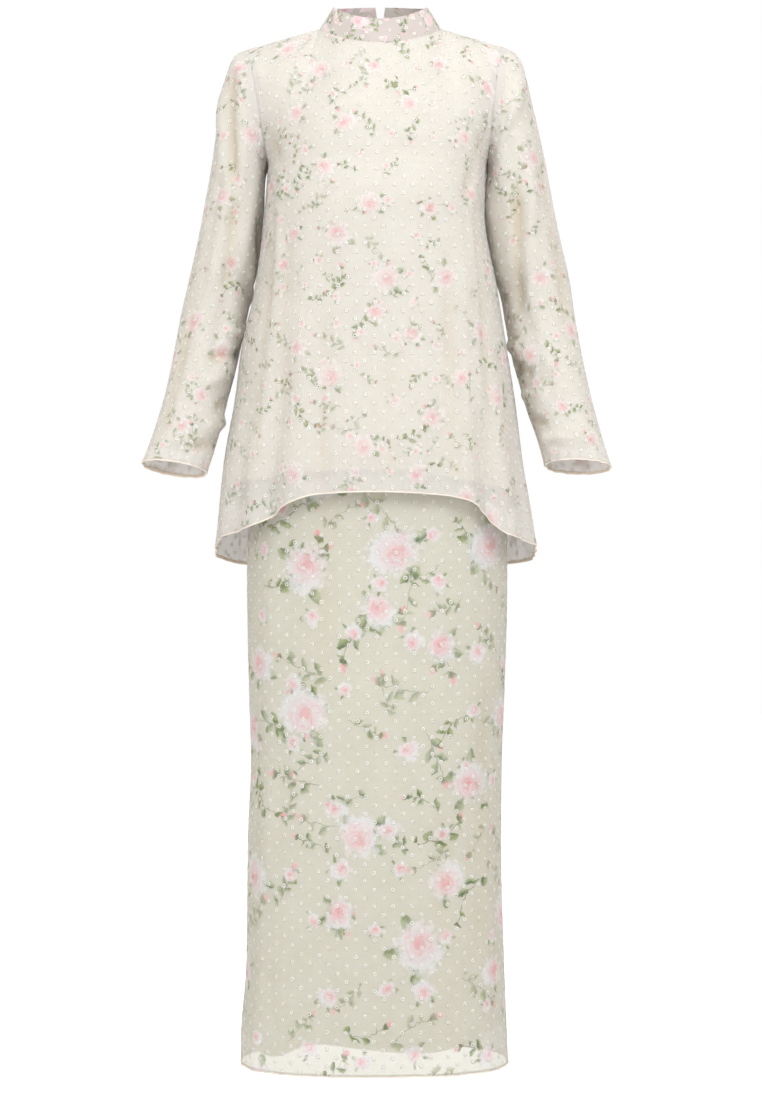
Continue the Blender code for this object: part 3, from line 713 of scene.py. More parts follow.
def chiffon_material(name, ground, alpha, cut_at=(0, 0, 0), **print_sizes):
    """Sheer crepe chiffon, denser where the print lies; cut_at is where on the bolt it was cut."""
    made, w, shader = new_material(name)
    place = w.node("UVMap", uv_map="cloth")[0]
    printed = w.group(floral, place=w.vector("ADD", place, cut_at), ground=(*ground, 1), **print_sizes)
    shader["Base Color"] = w.with_painted_shade(printed["Colour"])
    cloth = w.group(weave, place=place, pitch=0.0006, crimp=1.4)
    cover = printed["Ink"] * 0.24 + (cloth["Mottle"] * 0.1 + (alpha - 0.05))
    shader["Alpha"] = cover
    bump = w.bump(0.5, 0.0006, cloth["Height"])
    shader["Normal"] = bump
    shader["Roughness"] = 0.72
    shader["Sheen Weight"] = 0.12
    shader["Sheen Roughness"] = 0.4
    return made


# The skirt's ground is darker and yellower than the blouse's copy of this crepe: partly the cloth's own tone,
# partly painted shade for the skirt lying lower and less lit.
SKIRT_CHIFFON, SKIRT_BACK_CHIFFON = (
    chiffon_material(
        f"skirt_chiffon_{name}", (0.85, 0.845, 0.775), 0.60, cut_at, rose_radius=0.030, rose_spacing=4.0,
        sprig_spacing=3.0, rose_share=0.74, sprig_share=0.55, strength=1.0, halo=(0.86, 0.87, 0.91, 1),
    )
    for name, cut_at in (("front", (0, 0, 0)), ("back", (1.73, 0.41, 0)))
)
# The chiffon's inside face: the same cloth, plain, coloured greyer, darker and warmer than its outside as
# painted shade of the garment's inside. It also colours the seam allowances and armhole seams.
SHADED_CHIFFON_INSIDE = woven_material(
    "chiffon_inside", (0.83, 0.765, 0.73), (0.80, 0.735, 0.70), 0.75, 0.1, 0.0006, 0.5
)
# The depth of a trough at which its painted shade is full.
FULL_SHADE_DEPTH = 6 * MM
Crease = namedtuple("Crease", "x z end_x end_z width depth")
SKIRT_CREASES = {
    "front": table(
        Crease,
        (-120, -40, -150, -420, 16, 3.1), (-60, -120, -75, -520, 14, -2), (40, -180, 30, -700, 18, 2.2),
        (110, -60, 128, -380, 15, 2.8), (150, -420, 142, -820, 13, -2.5), (-150, -560, -120, -880, 14, 2.7),
        (-30, -620, -42, -900, 12, 1.8), (80, -560, 96, -890, 13, -1.8), (-170, -150, -90, -190, 9, 1.7),
        (165, -170, 90, -215, 9, 1.5),
    ),
    "back": table(
        Crease,
        (-110, -60, -135, -400, 15, 2.8), (-20, -100, -32, -560, 17, -2.1), (70, -80, 84, -470, 14, 2.4),
        (140, -380, 128, -780, 14, -2.2), (-150, -520, -130, -880, 15, 2.5), (20, -600, 34, -890, 12, 2),
        (-160, -170, -80, -205, 9, 1.7), (150, -150, 85, -200, 9, 1.7),
    ),
}


def creased(grid, inward, place, creases, fade):
    """The grid with soft ridges and troughs along lines, and how much painted shade each point gets from how
    deep it lies in a trough.
    """
    lift = np.zeros(grid.shape[:2])
    for crease in creases:
        start = np.array([crease.x, crease.z]) * MM
        run = np.array([crease.end_x, crease.end_z]) * MM - start
        away = place - start
        share = (away @ run) / (run @ run)
        across = away - np.clip(share, 0, 1)[..., None] * run
        fine = 0.75 + 0.25 * np.sin(share * 9 + crease.x)
        taper = ease(share * 3 + 0.3) * ease((1 - share) * 3 + 0.3)
        lift += crease.depth * MM * fine * taper * np.exp(-((across**2).sum(-1)) / (crease.width * MM) ** 2)
    lift = lift * fade
    return grid - inward * lift[..., None], np.clip(-lift / FULL_SHADE_DEPTH, 0, 1)


def seam_fade(place, width):
    """0 at a panel's side edges, rising to 1 inside it."""
    return ease((place[..., 0] - place[:, :1, 0]) / width) * ease((place[:, -1:, 0] - place[..., 0]) / width)


def panel_edge(place):
    """Each point's distance from the nearest of a panel's four edges."""
    sides = np.minimum(place[..., 0] - place[:, :1, 0], place[:, -1:, 0] - place[..., 0])
    ends = np.minimum(place[..., 1] - place[:1, :, 1], place[-1:, :, 1] - place[..., 1])
    return np.minimum(sides, ends)


DOT_ACROSS = 23.7 * MM
DOT_ALONG = 10.6 * MM
DOT_RING = 1.8 * MM
DOT_THREAD = 0.95 * MM
dots_tree, w, given, result = effect(
    "woven dots",
    {
        "Panel": (OBJECT, None),
        "Columns": (INTEGER, 20),
        "Rows": (INTEGER, 80),
        "First row": (FLOAT, 0.0),
        "Across": (FLOAT, DOT_ACROSS),
        "Along": (FLOAT, DOT_ALONG),
        "Ring radius": (FLOAT, DOT_RING),
        "Thread radius": (FLOAT, DOT_THREAD),
        "Margin": (FLOAT, 3.5 * MM),
        "Seed": (INTEGER, 5),
        "Finish": (FINISH, None),
    },
    {"Geometry": GEOMETRY},
    "GeometryNodeTree",
)
panel = w.node("GeometryNodeObjectInfo", given["Panel"])["Geometry"]
face_side = w.node("GeometryNodeInputMaterialIndex")[0]
on_outside = w.node("FunctionNodeCompare", None, None, face_side, 0, data_type="INT", operation="EQUAL")[0]
outside = w.node("GeometryNodeSeparateGeometry", panel, on_outside, domain="FACE")[0]
index = w.node("GeometryNodeInputIndex")[0]
row = w.math("FLOOR", (index + 0.5) / given["Columns"])
cell = index - row * given["Columns"]
stagger = w.math("FLOORED_MODULO", row, 2.0) * 0.5
from_middle = cell + stagger - given["Columns"] * 0.5
spot = w.node("CombineXYZ", from_middle * given["Across"], row * given["Along"] + given["First row"])[0]
cloth_map = w.node("GeometryNodeInputNamedAttribute", "cloth", data_type="FLOAT_VECTOR")[0]
from_edge = w.node("GeometryNodeInputNamedAttribute", "from_edge", data_type="FLOAT")[0]


def on_cloth(value, data_type):
    """A value of the panel's surface at the dot's place on the cut cloth, and whether the cloth is there."""
    return w.node("GeometryNodeSampleUVSurface", outside, value, cloth_map, spot, data_type=data_type)


where = on_cloth(w.node("GeometryNodeInputPosition")[0], "FLOAT_VECTOR")
facing = on_cloth(w.node("GeometryNodeInputNormal")[0], "FLOAT_VECTOR")[0]
inset = on_cloth(from_edge, "FLOAT")[0]
there = where[1] * (inset > given["Margin"])
points = w.node("GeometryNodePoints", given["Rows"] * given["Columns"], where[0])[0]
loop = w.node("GeometryNodeCurvePrimitiveCircle", 9, None, None, None, given["Ring radius"])[0]
profile = w.node("GeometryNodeCurvePrimitiveCircle", 3, None, None, None, given["Thread radius"])[0]
ring = w.node("GeometryNodeCurveToMesh", loop, profile)[0]
ring = w.node("GeometryNodeTransform", ring)[0]
ring.tune("Scale", (1, 1, 0.24))
tilt = w.node("FunctionNodeAlignRotationToVector", None, None, facing, axis="Z")[0]
size = w.node("FunctionNodeRandomValue", None, None, 0.88, 1.1, data_type="FLOAT")[1]
size.tune("Seed", given["Seed"])
rings = w.node("GeometryNodeInstanceOnPoints", points, there, ring, None, None, tilt, size)[0]
rings = w.node("GeometryNodeRealizeInstances", rings)[0]
rings = w.node("GeometryNodeSetMaterial", rings, None, given["Finish"])[0]
result["Geometry"] = rings

DOT_FINISH, w, shader = new_material("woven_dot_thread")
fibre = w.noise(w.node("TexCoord")["Object"], 900.0, 3.0, 0.6)[0]
shader["Base Color"] = w.blend(fibre, (0.95, 0.94, 0.89, 1), (0.98, 0.975, 0.95, 1))
shader["Normal"] = w.bump(0.5, 0.0003, fibre)
shader["Roughness"] = 0.5
shader["Sheen Weight"] = 0.2
shader["Alpha"] = 0.85


def woven_dots(panel, columns, rows, first_row, seed):
    """The woven dots of one panel, a small thread ring at each place of the staggered pattern."""
    counts = dict(columns=columns, rows=rows, first_row=first_row, seed=seed)
    dots = grown(panel.name.replace("chiffon", "dots"), dots_tree, panel=panel, finish=DOT_FINISH, **counts)
    dots.data.shade_smooth()
    return as_trim(dots)


HEM_FINISH, w, shader = new_material("rolled_hem")
place = w.node("UVMap", uv_map="cloth")[0]
cloth = w.group(weave, place=place, pitch=0.0006)
round_roll = w.node("SeparateXYZ", place)[1]
# The roll's turned-in part is deeper peach: partly the doubled cloth, partly painted shade, as it lies on the
# inside away from the light.
shaded_inner_turn = w.smooth(round_roll, 1.2 * MM, 1.8 * MM) * w.smooth(round_roll, 5.4 * MM, 4.8 * MM)
pale = w.blend(w.smooth(cloth["Mottle"], 0.35, 0.65), (0.90, 0.80, 0.75, 1), (0.92, 0.87, 0.79, 1))
shader["Base Color"] = w.blend(shaded_inner_turn, pale, (0.93, 0.8, 0.67, 1))
shader["Normal"] = w.bump(0.4, 0.0006, cloth["Height"])
shader["Roughness"] = 0.6
ROLLED_HEM = [
    (0, 0.25), (-0.4, 0), (-0.5, -0.8), (-0.1, -1.3), (3.1, -1.3), (3.6, -1.0), (3.2, -0.6),
    (1.6, -0.55), (1.5, 0.05), (1.2, 0.22),
]
ALLOWANCE = [(0.2, -0.6), (0.2, -1.2), (9.6, -1.3), (10, -0.95), (9.6, -0.65)]


def puckered(grid, inward, along, from_edge, pitch, depth, reach):
    """The grid with the small uneven ripples that a sewn edge draws into the cloth beside it."""
    wave = np.sin(along / pitch * 6.28) + 0.7 * np.sin(along / pitch * 3.7 + 1.0)
    return grid + inward * (wave * depth * np.exp(-from_edge / reach))[..., None]


def chiffon_panel(name, grid, inward, place, hollow, finish, dot_pattern, missing=()):
    """A chiffon panel with its dots, and a stitched rolled hem along its first row."""
    finishes = [finish, SHADED_CHIFFON_INSIDE]
    panel = shell(
        name + "_chiffon", grid, inward, SHEET, place, finishes,
        missing=missing, edge=panel_edge(place), hollow=hollow,
    )
    dots = woven_dots(panel, *dot_pattern)
    up = unit(grid[1] - grid[0])
    hem = as_trim(swept(name + "_hem", grid[0], up, -inward[0], ROLLED_HEM, HEM_FINISH))
    return panel, [dots, hem, stitched(name + "_stitches", [grid[0] + up * 2.5 * MM - inward[0] * 0.42 * MM])]


def seam_strip(name, grid, inward, length, end, beside, profile, finish):
    """A strip of cloth inside a panel's edge, the column at end, that reaches towards the column beside."""
    away = grid[length, beside] - grid[length, end]
    strip = swept(name, grid[length, end], away, -inward[length, end], profile, finish)
    return as_trim(strip)


for side, name in SIDES:
    grid, inward = skirt_grid(side, 84, 150, SKIRT_HEM, SKIRT_FOLDS)
    place = panel_place(grid, -1)
    fade = seam_fade(place, 0.03) * ease(-place[..., 1] / 0.05)
    grid, hollow = creased(grid, inward, place, SKIRT_CREASES[name], fade)
    grid = puckered(grid, inward, place[..., 0], place[..., 1] - place[:1, :, 1], 0.023, 0.7 * MM, 0.022)
    finish = SKIRT_CHIFFON if side < 0 else SKIRT_BACK_CHIFFON
    dot_pattern = (26, 92, -0.95, 5 + side)
    panel, trims = chiffon_panel("skirt_" + name, grid, inward, place, hollow, finish, dot_pattern)
    for at, end, beside in (("left", 0, 1), ("right", -1, -2)) if side > 0 else ():
        ends = (slice(2, None), end, beside, ALLOWANCE, SHADED_CHIFFON_INSIDE)
        trims.append(seam_strip("skirt_seam_" + at, grid, inward, *ends))
    as_cloth(
        panel, "skirt_" + name, "dotted_chiffon",
        flat=(0.51, 0.945), area=0.475, held="hung", rests_on=[waistband], with_pieces=trims,
    )

# The blouse's lining: front and back panels of the same cream cloth, sewn in at the neck, shoulders and
# armholes, and hanging free down to a level above the chiffon's hem.
BLOUSE = table(
    Section,
    (-166, 147, 137.5, 118, 101, 10, 2.35), (-230, 152, 135.5, 128, 106, 9, 2.35),
    (-330, 165, 152, 128, 109, 7, 2.30), (-400, 181, 163, 130, 114, 5, 2.20),
    (-470, 190, 174, 133, 120, 3, 2.15), (-550, 204, 184, 137, 129, 1, 2.10),
    (-630, 212, 196, 141, 137, 0, 2.05), (-710, 218, 207, 145, 144, 0, 2.00),
)
BLOUSE_LINING_HEM = table(
    Hem,
    (0, -600), (90, -640), (180, -590), (230, -571), (270, -563), (315, -580), (360, -600),
)
Ring = namedtuple("Ring", "outer_x outer_z inner_x inner_z front back drop")
LEFT_SLEEVE = table(
    Ring,
    (-171.6, -13.5, -147, -166, -46, 66, 0), (-190, -22, -149.5, -171, -48, 66, 0),
    (-203, -54, -152, -181, -49, 66, 0), (-210.5, -91, -154.5, -196, -49, 66, 0),
    (-219.5, -158, -157, -222, -46, 66, 0), (-229, -210, -160, -250, -42, 68, 0),
    (-239, -262, -163, -290, -38, 68, 1), (-251, -314, -169.5, -333, -34, 68, 2),
    (-262.5, -366, -178, -378, -36, 62, 5), (-271.5, -418, -188, -428, -43, 51, 8),
    (-282, -470, -200, -478, -52, 37, 11), (-296.5, -522, -213, -528, -62, 21, 14),
    (-308, -555, -225, -567, -70, 9, 17),
)
RIGHT_SLEEVE = table(
    Ring,
    (155, -9.5, 137.5, -166, -46, 66, 0), (175, -19, 139.5, -171, -48, 66, 0),
    (189.5, -54, 140.5, -181, -49, 66, 0), (197, -91, 140, -198, -49, 66, 0),
    (210.5, -158, 140.5, -224, -46, 66, 0), (221, -210, 144, -252, -42, 68, 0),
    (232.5, -262, 149.5, -290, -38, 68, 1), (244.5, -314, 156, -333, -34, 68, 2),
    (253.5, -366, 163.5, -378, -36, 62, 5), (262.5, -418, 173, -427, -43, 51, 8),
    (273, -470, 187, -478, -52, 37, 11), (286, -522, 202, -522, -62, 21, 14),
    (296.5, -560, 212, -557, -70, 9, 17),
)
SLEEVE_POWER = 2.1
NeckLine = namedtuple("NeckLine", "front side back")
NECK_Y = NeckLine(-65, 4, 58)
NECK_Z = NeckLine(-17, 12, 16)
COLLAR_TOP_Z = NeckLine(15, 40, 49)
NECK_X = -1.0
NECK_HALF_WIDTH = 79
COLLAR_TOP_SCALE = 0.78
COLLAR_TOP_DEPTH_SCALE = 0.86
SHOULDER_SHARE = 6 / 26
UNDERARM = LEFT_SLEEVE[0].inner_z * MM
LINING_SEAM_SPACE = 1.2 * MM
LINING_BODY_SPACE = 4.2 * MM
LINING_HEM_SPACE = 7.0 * MM
LINING_ARMHOLE_SPACE = 3.0 * MM


def sleeve_stations(rings):
    """How far along the sleeve each ring's middle lies, from 0 at the armhole to 1 at the wrist."""
    ends = (("outer_x", "inner_x"), ("front", "back"), ("outer_z", "inner_z"))
    middle = np.stack([(column(rings, a) + column(rings, b)) / 2 for a, b in ends], axis=1)
    length = run_lengths(middle[None], 1)[0]
    return length / length[-1]


def sleeve_point(rings, creases, along, turn):
    """A point of a sleeve; turn 0 is its outer edge, 90 its back, 180 its inner edge, 270 its front."""
    stations = sleeve_stations(rings)
    outer_x, outer_z, inner_x, inner_z, front, back, drop = (
        smooth_curve(stations, column(rings, name) * MM, along) for name in Ring._fields
    )
    angle = np.radians(turn)
    cosine, sine = bend(np.cos(angle), SLEEVE_POWER), bend(np.sin(angle), SLEEVE_POWER)
    shrink = np.ones(np.broadcast(along, turn).shape)
    half_width = np.hypot(outer_x - inner_x, outer_z - inner_z) / 2
    for crease in creases:
        away = (turn - crease.turn + 180) % 360 - 180
        near = np.exp(-((away / crease.spread) ** 2) - ((along - crease.along) / crease.reach) ** 2)
        shrink = shrink + crease.depth * MM * near / half_width
    x = (outer_x + inner_x) / 2 + (outer_x - inner_x) / 2 * cosine * shrink
    y = (front + back) / 2 + (back - front) / 2 * sine * shrink
    z = (outer_z + inner_z) / 2 + (outer_z - inner_z) / 2 * cosine * shrink - drop / 2 * sine
    return np.stack([x, y, z], axis=-1)


def armhole(rings, turn):
    """A point of the armhole, the way from it to the armhole's middle, and the way out to the sleeve."""
    ring = rings[0]
    point = sleeve_point(rings, [], np.zeros(turn.shape), turn)
    middle = np.array([ring.outer_x + ring.inner_x, ring.front + ring.back, ring.outer_z + ring.inner_z])
    rise = np.array([ring.outer_x - ring.inner_x, 0, ring.outer_z - ring.inner_z])
    outward = unit(np.cross(rise, [0, 1, 0]))
    if outward[0] * ring.outer_x < 0:
        outward = -outward
    return point, unit(middle * (MM / 2) - point), outward


def neck_point(turn, rise=0.0):
    """The neckline at a turn, lifted by a share of the collar's height."""
    cosine, sine = np.cos(np.radians(turn)), np.sin(np.radians(turn))

    def from_side(line, share):
        return line.side + (np.where(sine > 0, line.back, line.front) - line.side) * share

    x = NECK_X + NECK_HALF_WIDTH * (1 + (COLLAR_TOP_SCALE - 1) * rise) * cosine
    y = from_side(NECK_Y, np.abs(sine) * (1 + (COLLAR_TOP_DEPTH_SCALE - 1) * rise))
    low, high = (from_side(line, np.abs(sine) ** 1.5) for line in (NECK_Z, COLLAR_TOP_Z))
    return np.stack([x, y, low + (high - low) * rise], axis=-1) * MM


def blouse_top(side, across):
    """The top edge of a body panel: shoulder seam, neckline, shoulder seam."""
    round_neck = np.clip((across - SHOULDER_SHARE) / (1 - 2 * SHOULDER_SHARE), 0, 1)
    top = neck_point(180 - 180 * side * round_neck)
    for rings, share in ((LEFT_SLEEVE, across), (RIGHT_SLEEVE, 1 - across)):
        tip = armhole(rings, np.zeros(1))[0][0]
        neck_end = neck_point(np.full(1, 180.0 if rings is LEFT_SLEEVE else 0.0))[0]
        run = np.clip(share / SHOULDER_SHARE, 0, 1)[..., None]
        top = np.where(run < 1, tip + (neck_end - tip) * run, top)
    return top


def yoke_point(side, turn, across, rise):
    """The panel between the underarm (rise 0) and the shoulder seam and neckline (rise 1)."""
    low = section_point(BLOUSE, [], turn, np.full(across.shape, UNDERARM))
    top = blouse_top(side, across)
    arch = 1 - (1 - rise**2) ** 0.5
    slope = rise ** (1.8 if side < 0 else 2.4)
    from_arm = np.minimum(across, 1 - across)
    shoulder = ease((1.5 * SHOULDER_SHARE - from_arm) / SHOULDER_SHARE)
    back_off = shoulder * arch + (1 - shoulder) * slope
    level = low + (top - low) * rise[..., None]
    level[..., 1] = low[..., 1] + (top[..., 1] - low[..., 1]) * back_off
    for rings, share in ((LEFT_SLEEVE, across), (RIGHT_SLEEVE, 1 - across)):
        edge = armhole(rings, 180 - 180 * side * rise)[0]
        low_end, top_end = armhole(rings, np.array([180.0, 0.0]))[0]
        plain = low_end + (top_end - low_end) * rise[..., None]
        plain[..., 1] = low_end[1] + (top_end[1] - low_end[1]) * arch
        near = np.clip(1 - share / (1.3 * SHOULDER_SHARE), 0, 1) ** 1.7
        level = level + near[..., None] * (edge - plain)
    return level


def blouse_grid(side, across, body_rows, yoke_rows, hem, folds, lining=False):
    """Points and inward ways of a body panel, from its hem up; side is -1 in front, 1 at the back."""
    turn = even_turns(BLOUSE, -0.35, 180, 180 - 180 * side, across)
    bottom = hem_height(hem, turn)
    height = bottom + (UNDERARM - bottom) * np.linspace(0, 1, body_rows + 1)[:-1, None]
    body = section_point(BLOUSE, folds, np.broadcast_to(turn, height.shape), height)
    rise = np.sin(np.linspace(0, math.pi / 2, yoke_rows + 1))[:, None] * np.ones(across.shape)
    yoke = yoke_point(side, np.broadcast_to(turn, rise.shape), np.broadcast_to(across, rise.shape), rise)
    grid = np.concatenate([body, yoke])
    inward = -outward_normals(grid, False)
    inward[:, [0, -1], 1] = 0
    for end, rings in ((0, LEFT_SLEEVE), (-1, RIGHT_SLEEVE)):
        point, to_middle, out = armhole(rings, 180 - 180 * side * rise[:, 0])
        if lining:
            grid[body_rows:, end] -= out * LINING_ARMHOLE_SPACE
        else:
            inward[body_rows:, end] = to_middle
            grid[body_rows:, end] = point
    inward[-1, np.minimum(across, 1 - across) <= SHOULDER_SHARE + 1e-6, 1] = 0
    return grid, unit(inward)


BLOUSE_LINING = woven_material("blouse_lining", (0.96, 0.93, 0.77), (0.94, 0.90, 0.72), 0.48, 0.1, 0.0004)
for side, name in SIDES:
    across = np.arange(53) / 52
    grid, inward = blouse_grid(side, across, 44, 20, BLOUSE_LINING_HEM, [], lining=True)
    up = np.arange(len(grid))[:, None]
    below = np.clip((44 - up) / 44, 0, 1)
    space = LINING_BODY_SPACE + (LINING_HEM_SPACE - LINING_BODY_SPACE) * below**1.5
    space = space + (LINING_SEAM_SPACE - LINING_BODY_SPACE) * ease((up - 58) / 6)
    grid = grid + inward * (CAD_CLOTH + space)[..., None]
    lining_panel(
        "blouse_lining_" + name, grid, inward, 44, BLOUSE_LINING,
        flat=(0.50, 0.66), area=0.27, rests_on=["collar"],
    )

# The blouse's chiffon: the same dotted crepe printed with small roses and sprigs, cut as a flared front
# and a longer flared back, sewn at the shoulders, sides and armholes.
BLOUSE_FOLDS = table(
    Fold,
    (20, 8, 8, -420, -640), (43, 9, 11, -360, -620), (68, 8, 8, -430, -640), (95, 9, 12, -320, -620),
    (121, 8, 8, -400, -640), (143, 9, 12, -360, -620), (165, 7, 8, -430, -640), (205, 8, 9, -400, -620),
    (222, 6, 11, -360, -600), (230, 4, -5, -420, -600), (240, 6, 9, -320, -590), (259, 8, 5, -400, -580),
    (284, 8, 5, -360, -580), (305, 6, 9, -380, -590), (315, 4, -5, -430, -600), (325, 7, 12, -360, -620),
    (343, 7, 7, -430, -640),
)
BLOUSE_HEM = table(
    Hem,
    (0, -668), (30, -683), (90, -692), (150, -683), (180, -663), (208, -646), (222, -636), (230, -625),
    (238, -609), (250, -596), (270, -593), (295, -597), (304, -603), (311, -614), (316, -630), (322, -646),
    (332, -652), (345, -660), (360, -668),
)
BLOUSE_CHIFFON, BLOUSE_BACK_CHIFFON = (
    chiffon_material(
        f"blouse_chiffon_{name}", (0.945, 0.93, 0.895), 0.5, cut_at, rose_radius=0.0165, rose_spacing=4.3,
        sprig_spacing=3.1, rose_share=0.64, sprig_share=0.44, strength=0.9, halo=(0.93, 0.88, 0.885, 1),
    )
    for name, cut_at in (("front", (0, 0, 0)), ("back", (1.31, 0.77, 0)))
)
BLOUSE_CREASES = {
    "front": table(
        Crease,
        (-172, 62, -130, -40, 9, -3.6), (-160, 20, -118, -70, 7, 2.7), (-150, -30, -128, -150, 9, 2.7),
        (-120, -90, -124, -330, 10, -2.4), (-90, -120, -96, -420, 12, 3), (-62, -200, -66, -430, 9, -1.9),
        (-30, -240, -34, -430, 11, 1.5), (20, -260, 22, -430, 12, -1.2), (58, -180, 66, -430, 10, 2),
        (92, -110, 104, -420, 11, -2.5), (118, -60, 132, -380, 10, 3), (158, 40, 122, -60, 9, -3.6),
        (150, -10, 136, -140, 8, 2.5), (-140, 70, -100, 96, 8, 1.7), (134, 74, 96, 98, 8, 1.5),
        (-146, -20, -168, -420, 7, -2.6), (-133, -10, -150, -430, 7, 2.2), (134, -10, 150, -430, 7, 2.2),
        (147, -20, 166, -420, 7, -2.6), (-60, 40, 0, 30, 14, 1), (10, 34, 66, 46, 14, 1),
    ),
    "back": table(
        Crease,
        (-165, 60, -122, -50, 9, -3.6), (-120, 30, -112, -240, 11, 2.5), (-84, -60, -92, -380, 12, -2.4),
        (-40, -120, -46, -500, 11, 2.2), (14, -80, 18, -500, 13, -1.9), (56, -120, 64, -480, 11, 2.1),
        (100, -60, 112, -440, 12, 2.4), (152, 44, 118, -56, 9, -3.6), (-30, 120, -70, 60, 9, 1.5),
        (34, 118, 76, 56, 9, 1.5),
    ),
}
SLIT_HALF_LOW = 0.5 * MM
SLIT_HALF_HIGH = 1.2 * MM
SLIT_BINDING = [
    (0, 0.22), (-0.3, 0), (-0.3, -0.7), (0.1, -1.1), (3.6, -1.05), (4.1, -0.7), (4.1, 0), (3.7, 0.2),
]
BODY_ROWS, YOKE_ROWS, BLOUSE_COLUMNS = 96, 44, 104

for side, name in SIDES:
    across = np.arange(BLOUSE_COLUMNS + 1) / BLOUSE_COLUMNS
    middle = BLOUSE_COLUMNS // 2
    if side > 0:
        across = np.insert(across, middle, 0.5)
    grid, inward = blouse_grid(side, across, BODY_ROWS, YOKE_ROWS, BLOUSE_HEM, BLOUSE_FOLDS)
    slit = set()
    if side > 0:
        rows = np.arange(len(grid))
        bottom = BODY_ROWS + YOKE_ROWS // 2
        up_slit = np.clip((rows - bottom) / (YOKE_ROWS / 2), 0, 1)
        opened = SLIT_HALF_LOW + (SLIT_HALF_HIGH - SLIT_HALF_LOW) * up_slit
        opened = opened + 0.7 * MM * ease((bottom - rows) / 20)
        grid[:, middle, 0] -= opened
        grid[:, middle + 1, 0] += opened
        inward[:, middle + 1] = inward[:, middle]
        slit = {(row, middle) for row in range(bottom, BODY_ROWS + YOKE_ROWS)}
    place = panel_place(grid, BODY_ROWS)
    top_fade = ease((place[-1:, :, 1] - place[..., 1]) / 0.03)
    grid, hollow = creased(grid, inward, place, BLOUSE_CREASES[name], seam_fade(place, 0.03) * top_fade)
    grid = puckered(grid, inward, place[..., 0], place[..., 1] - place[:1, :, 1], 0.021, 0.9 * MM, 0.022)
    finish = BLOUSE_CHIFFON if side < 0 else BLOUSE_BACK_CHIFFON
    dot_pattern = (26, 76, -0.55, 11 + side)
    panel, trims = chiffon_panel("blouse_" + name, grid, inward, place, hollow, finish, dot_pattern, slit)
    seams = [] if side < 0 else [
        ("blouse_seam_left", slice(2, BODY_ROWS + 1), 0, 1, ALLOWANCE, SHADED_CHIFFON_INSIDE),
        ("blouse_seam_right", slice(2, BODY_ROWS + 1), -1, -2, ALLOWANCE, SHADED_CHIFFON_INSIDE),
        ("slit_binding_left", slice(bottom, None), middle, middle - 1, SLIT_BINDING, HEM_FINISH),
        ("slit_binding_right", slice(bottom, None), middle + 1, middle + 2, SLIT_BINDING, HEM_FINISH),
    ]
    trims += [seam_strip(piece, grid, inward, *ends) for piece, *ends in seams]
    as_cloth(
        panel, "blouse_" + name, "dotted_chiffon",
        flat=(0.56, 0.69), area=0.31, held="draped", rests_on=["collar"], with_pieces=trims,
    )

# The sleeves: long set-in tubes with one seam at the inner edge, a lining that stops short of the
# wrist, and a sheer cuff finished with the same narrow rolled hem as the blouse.
Dent = namedtuple("Dent", "along turn reach spread depth")
LEFT_DENTS = table(
    Dent,
    (0.22, 300, 0.16, 14, -5), (0.48, 200, 0.05, 40, -4), (0.60, 250, 0.10, 16, -5),
    (0.78, 215, 0.05, 34, -3), (0.55, 60, 0.14, 16, -5), (0.85, 80, 0.07, 18, -4),
)
RIGHT_DENTS = table(
    Dent,
    (0.12, 262, 0.07, 20, -5), (0.50, 205, 0.05, 38, -5), (0.62, 245, 0.09, 16, -4),
    (0.76, 210, 0.05, 32, -4), (0.52, 70, 0.14, 16, -5), (0.88, 95, 0.07, 18, -4),
)
SLEEVE_CREASES = {
    "left": table(
        Crease,
        (-14, 50, -56, 190, 8, 5.5), (-36, 44, -74, 200, 8, -6.5), (-60, 10, -96, 96, 8, -5.5),
        (-56, 190, -66, 330, 10, 4.3), (-76, 200, -84, 320, 9, -5.5), (-104, 150, -104, 300, 9, 4.3),
        (-122, 216, -146, 276, 8, -7.2), (-118, 280, -150, 320, 8, 5.5), (-152, 352, -92, 372, 8, 5.8),
        (-150, 384, -76, 410, 8, -6.7), (-130, 410, -70, 452, 8, 4.8), (-150, 440, -104, 470, 8, -6),
        (-146, 476, -96, 498, 8, 6), (-150, 506, -84, 528, 8, -5.5), (-40, 330, -30, 520, 10, -3.6),
        (12, 120, 6, 480, 11, -3.1), (60, 120, 56, 330, 9, 4.8), (96, 320, 50, 380, 8, 5),
        (104, 390, 60, 440, 8, -4.8), (84, 480, 50, 530, 8, 4.3),
    ),
    "right": table(
        Crease,
        (-16, 26, -96, 150, 8, 6), (-52, 30, -116, 136, 8, -7), (-56, 176, -90, 366, 9, 7.2),
        (-76, 190, -110, 350, 9, -8), (-120, 180, -128, 330, 9, 4.1), (-152, 378, -116, 392, 7, 6),
        (-152, 402, -104, 430, 8, -7.8), (-84, 396, -60, 470, 9, 4.3), (-146, 446, -88, 462, 8, 5),
        (-150, 474, -96, 500, 8, -6), (-120, 512, -76, 526, 8, 4.6), (-30, 150, -36, 400, 11, -3.6),
        (-8, 60, -8, 350, 10, 3.1), (26, 150, 30, 420, 11, 3.6), (62, 120, 60, 320, 9, 4.8),
        (96, 330, 52, 386, 8, 5), (104, 400, 58, 442, 8, -4.8), (86, 480, 52, 530, 8, 4.3),
    ),
}
INNER_SIDE = 92 * MM
SLEEVE_REACH = {"left": 5 * MM, "right": 7 * MM}  # how far the inner side rests towards the blouse
SLEEVE_LINING_END = 0.935
SLEEVE_LINING_SPACE = 3.5 * MM


